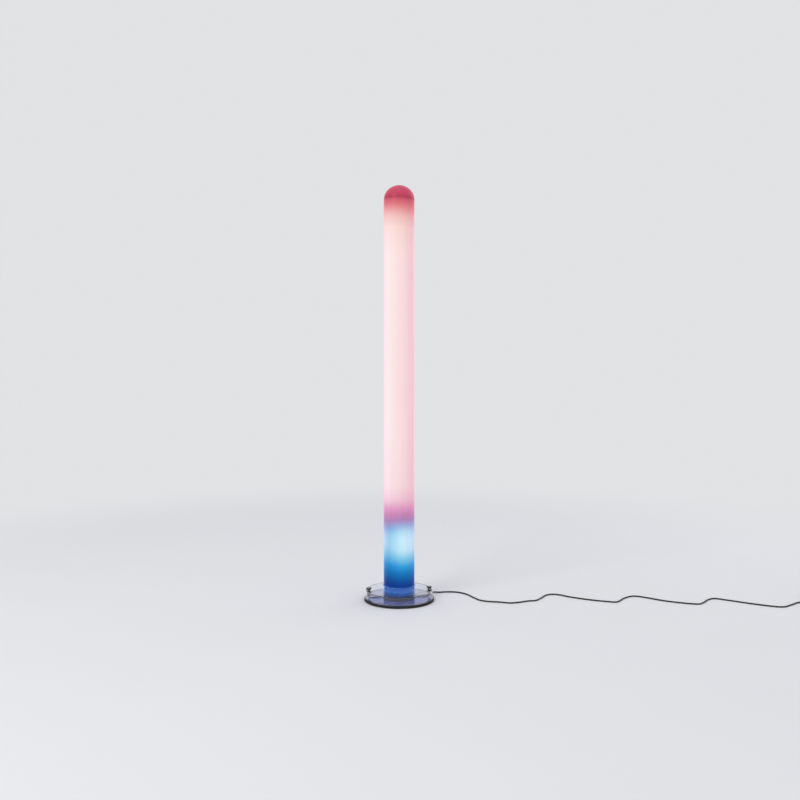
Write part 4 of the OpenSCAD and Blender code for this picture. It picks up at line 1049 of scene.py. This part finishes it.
# floor, light and background
studio = {
    "pale": (0.76, 0.765, 0.78), "floorColor": (0.86, 0.865, 0.875), "floorSize": 60, "fade": (2.0, 3.8),
    "floorClouds": 3, "floorDarker": 0.985, "floorRoughness": (0.65, 0.75),
    "world": (0.86, 0.88, 0.92), "worldStrength": 0.80,
    "lamps": [
        {
            "name": "keyLight", "at": (-3.9, -4.5, 4.1), "aim": (0, 0, 0.8), "size": 3.3, "power": 135,
            "color": (1.0, 0.98, 0.96),
        },
        {
            "name": "rimLight", "at": (2.8, 1.8, 2.4), "aim": (0, 0, 0.7), "size": 2.4, "power": 12,
            "color": (0.94, 0.96, 1.0),
        },
    ],
}


def seenRays(tree):
    # 1 where the camera, a gloss or a clear piece looks, 0 where light is gathered
    path = tree.nodes.new("ShaderNodeLightPath")
    direct, glossy, through = (
        Wire(tree, path.outputs[name]) for name in ("Is Camera Ray", "Is Glossy Ray", "Is Transmission Ray")
    )
    return direct.math("MAXIMUM", glossy).math("MAXIMUM", through)


def makeFloor():
    half = studio["floorSize"] / 2
    mesh = bpy.data.meshes.new("floor")
    corners = [(-half, -half, 0), (half, -half, 0), (half, half, 0), (-half, half, 0)]
    mesh.from_pydata(corners, [], [(0, 1, 2, 3)])
    floor = bpy.data.objects.new("floor", mesh)
    scene.collection.objects.link(floor)
    paper = Finish("floorPaper", {"Specular IOR Level": 0.15})
    cloud = paper.noise(studio["floorClouds"], 2)
    color = studio["floorColor"]
    shade = paper.mix(cloud, color, tuple(studio["floorDarker"] * c for c in color))
    low, high = studio["floorRoughness"]
    paper.set({"Base Color": shade, "Roughness": cloud * (high - low) + low})
    x, y = paper.axis("X"), paper.axis("Y")
    far = (x * x + y * y).math("SQRT").rise(*studio["fade"])
    haze = paper.node("ShaderNodeEmission", None, {"Color": studio["pale"]})
    lit = Wire(paper, paper.shader.outputs["BSDF"])
    both = paper.node("ShaderNodeMixShader", None, {0: far * seenRays(paper), 1: lit, 2: haze})
    paper.links.new(both.socket, paper.nodes["Material Output"].inputs["Surface"])
    mesh.materials.append(paper.material)


def makeStudio():
    makeFloor()
    for light in studio["lamps"]:
        data = bpy.data.lights.new(light["name"], "AREA")
        data.size, data.energy, data.color = light["size"], light["power"], light["color"]
        lamp = bpy.data.objects.new(light["name"], data)
        lamp.location = light["at"]
        toAim = Vector(light["aim"]) - Vector(light["at"])
        lamp.rotation_euler = toAim.to_track_quat("-Z", "Y").to_euler()
        lamp.visible_camera = False
        scene.collection.objects.link(lamp)
    world = bpy.data.worlds.new("studio")
    scene.world = world
    world.use_nodes = True
    world.node_tree.nodes.clear()
    sky = Tree(world.node_tree)
    values = {"Color": studio["world"], "Strength": studio["worldStrength"]}
    lit = sky.node("ShaderNodeBackground", None, values)
    shown = sky.node("ShaderNodeBackground", None, {"Color": studio["pale"], "Strength": 1.0})
    both = sky.node("ShaderNodeMixShader", None, {0: seenRays(sky), 1: lit, 2: shown})
    out = sky.nodes.new("ShaderNodeOutputWorld")
    sky.links.new(both.socket, out.inputs["Surface"])


makeStudio()
print("studio made")
scene.view_settings.view_transform = "Standard"
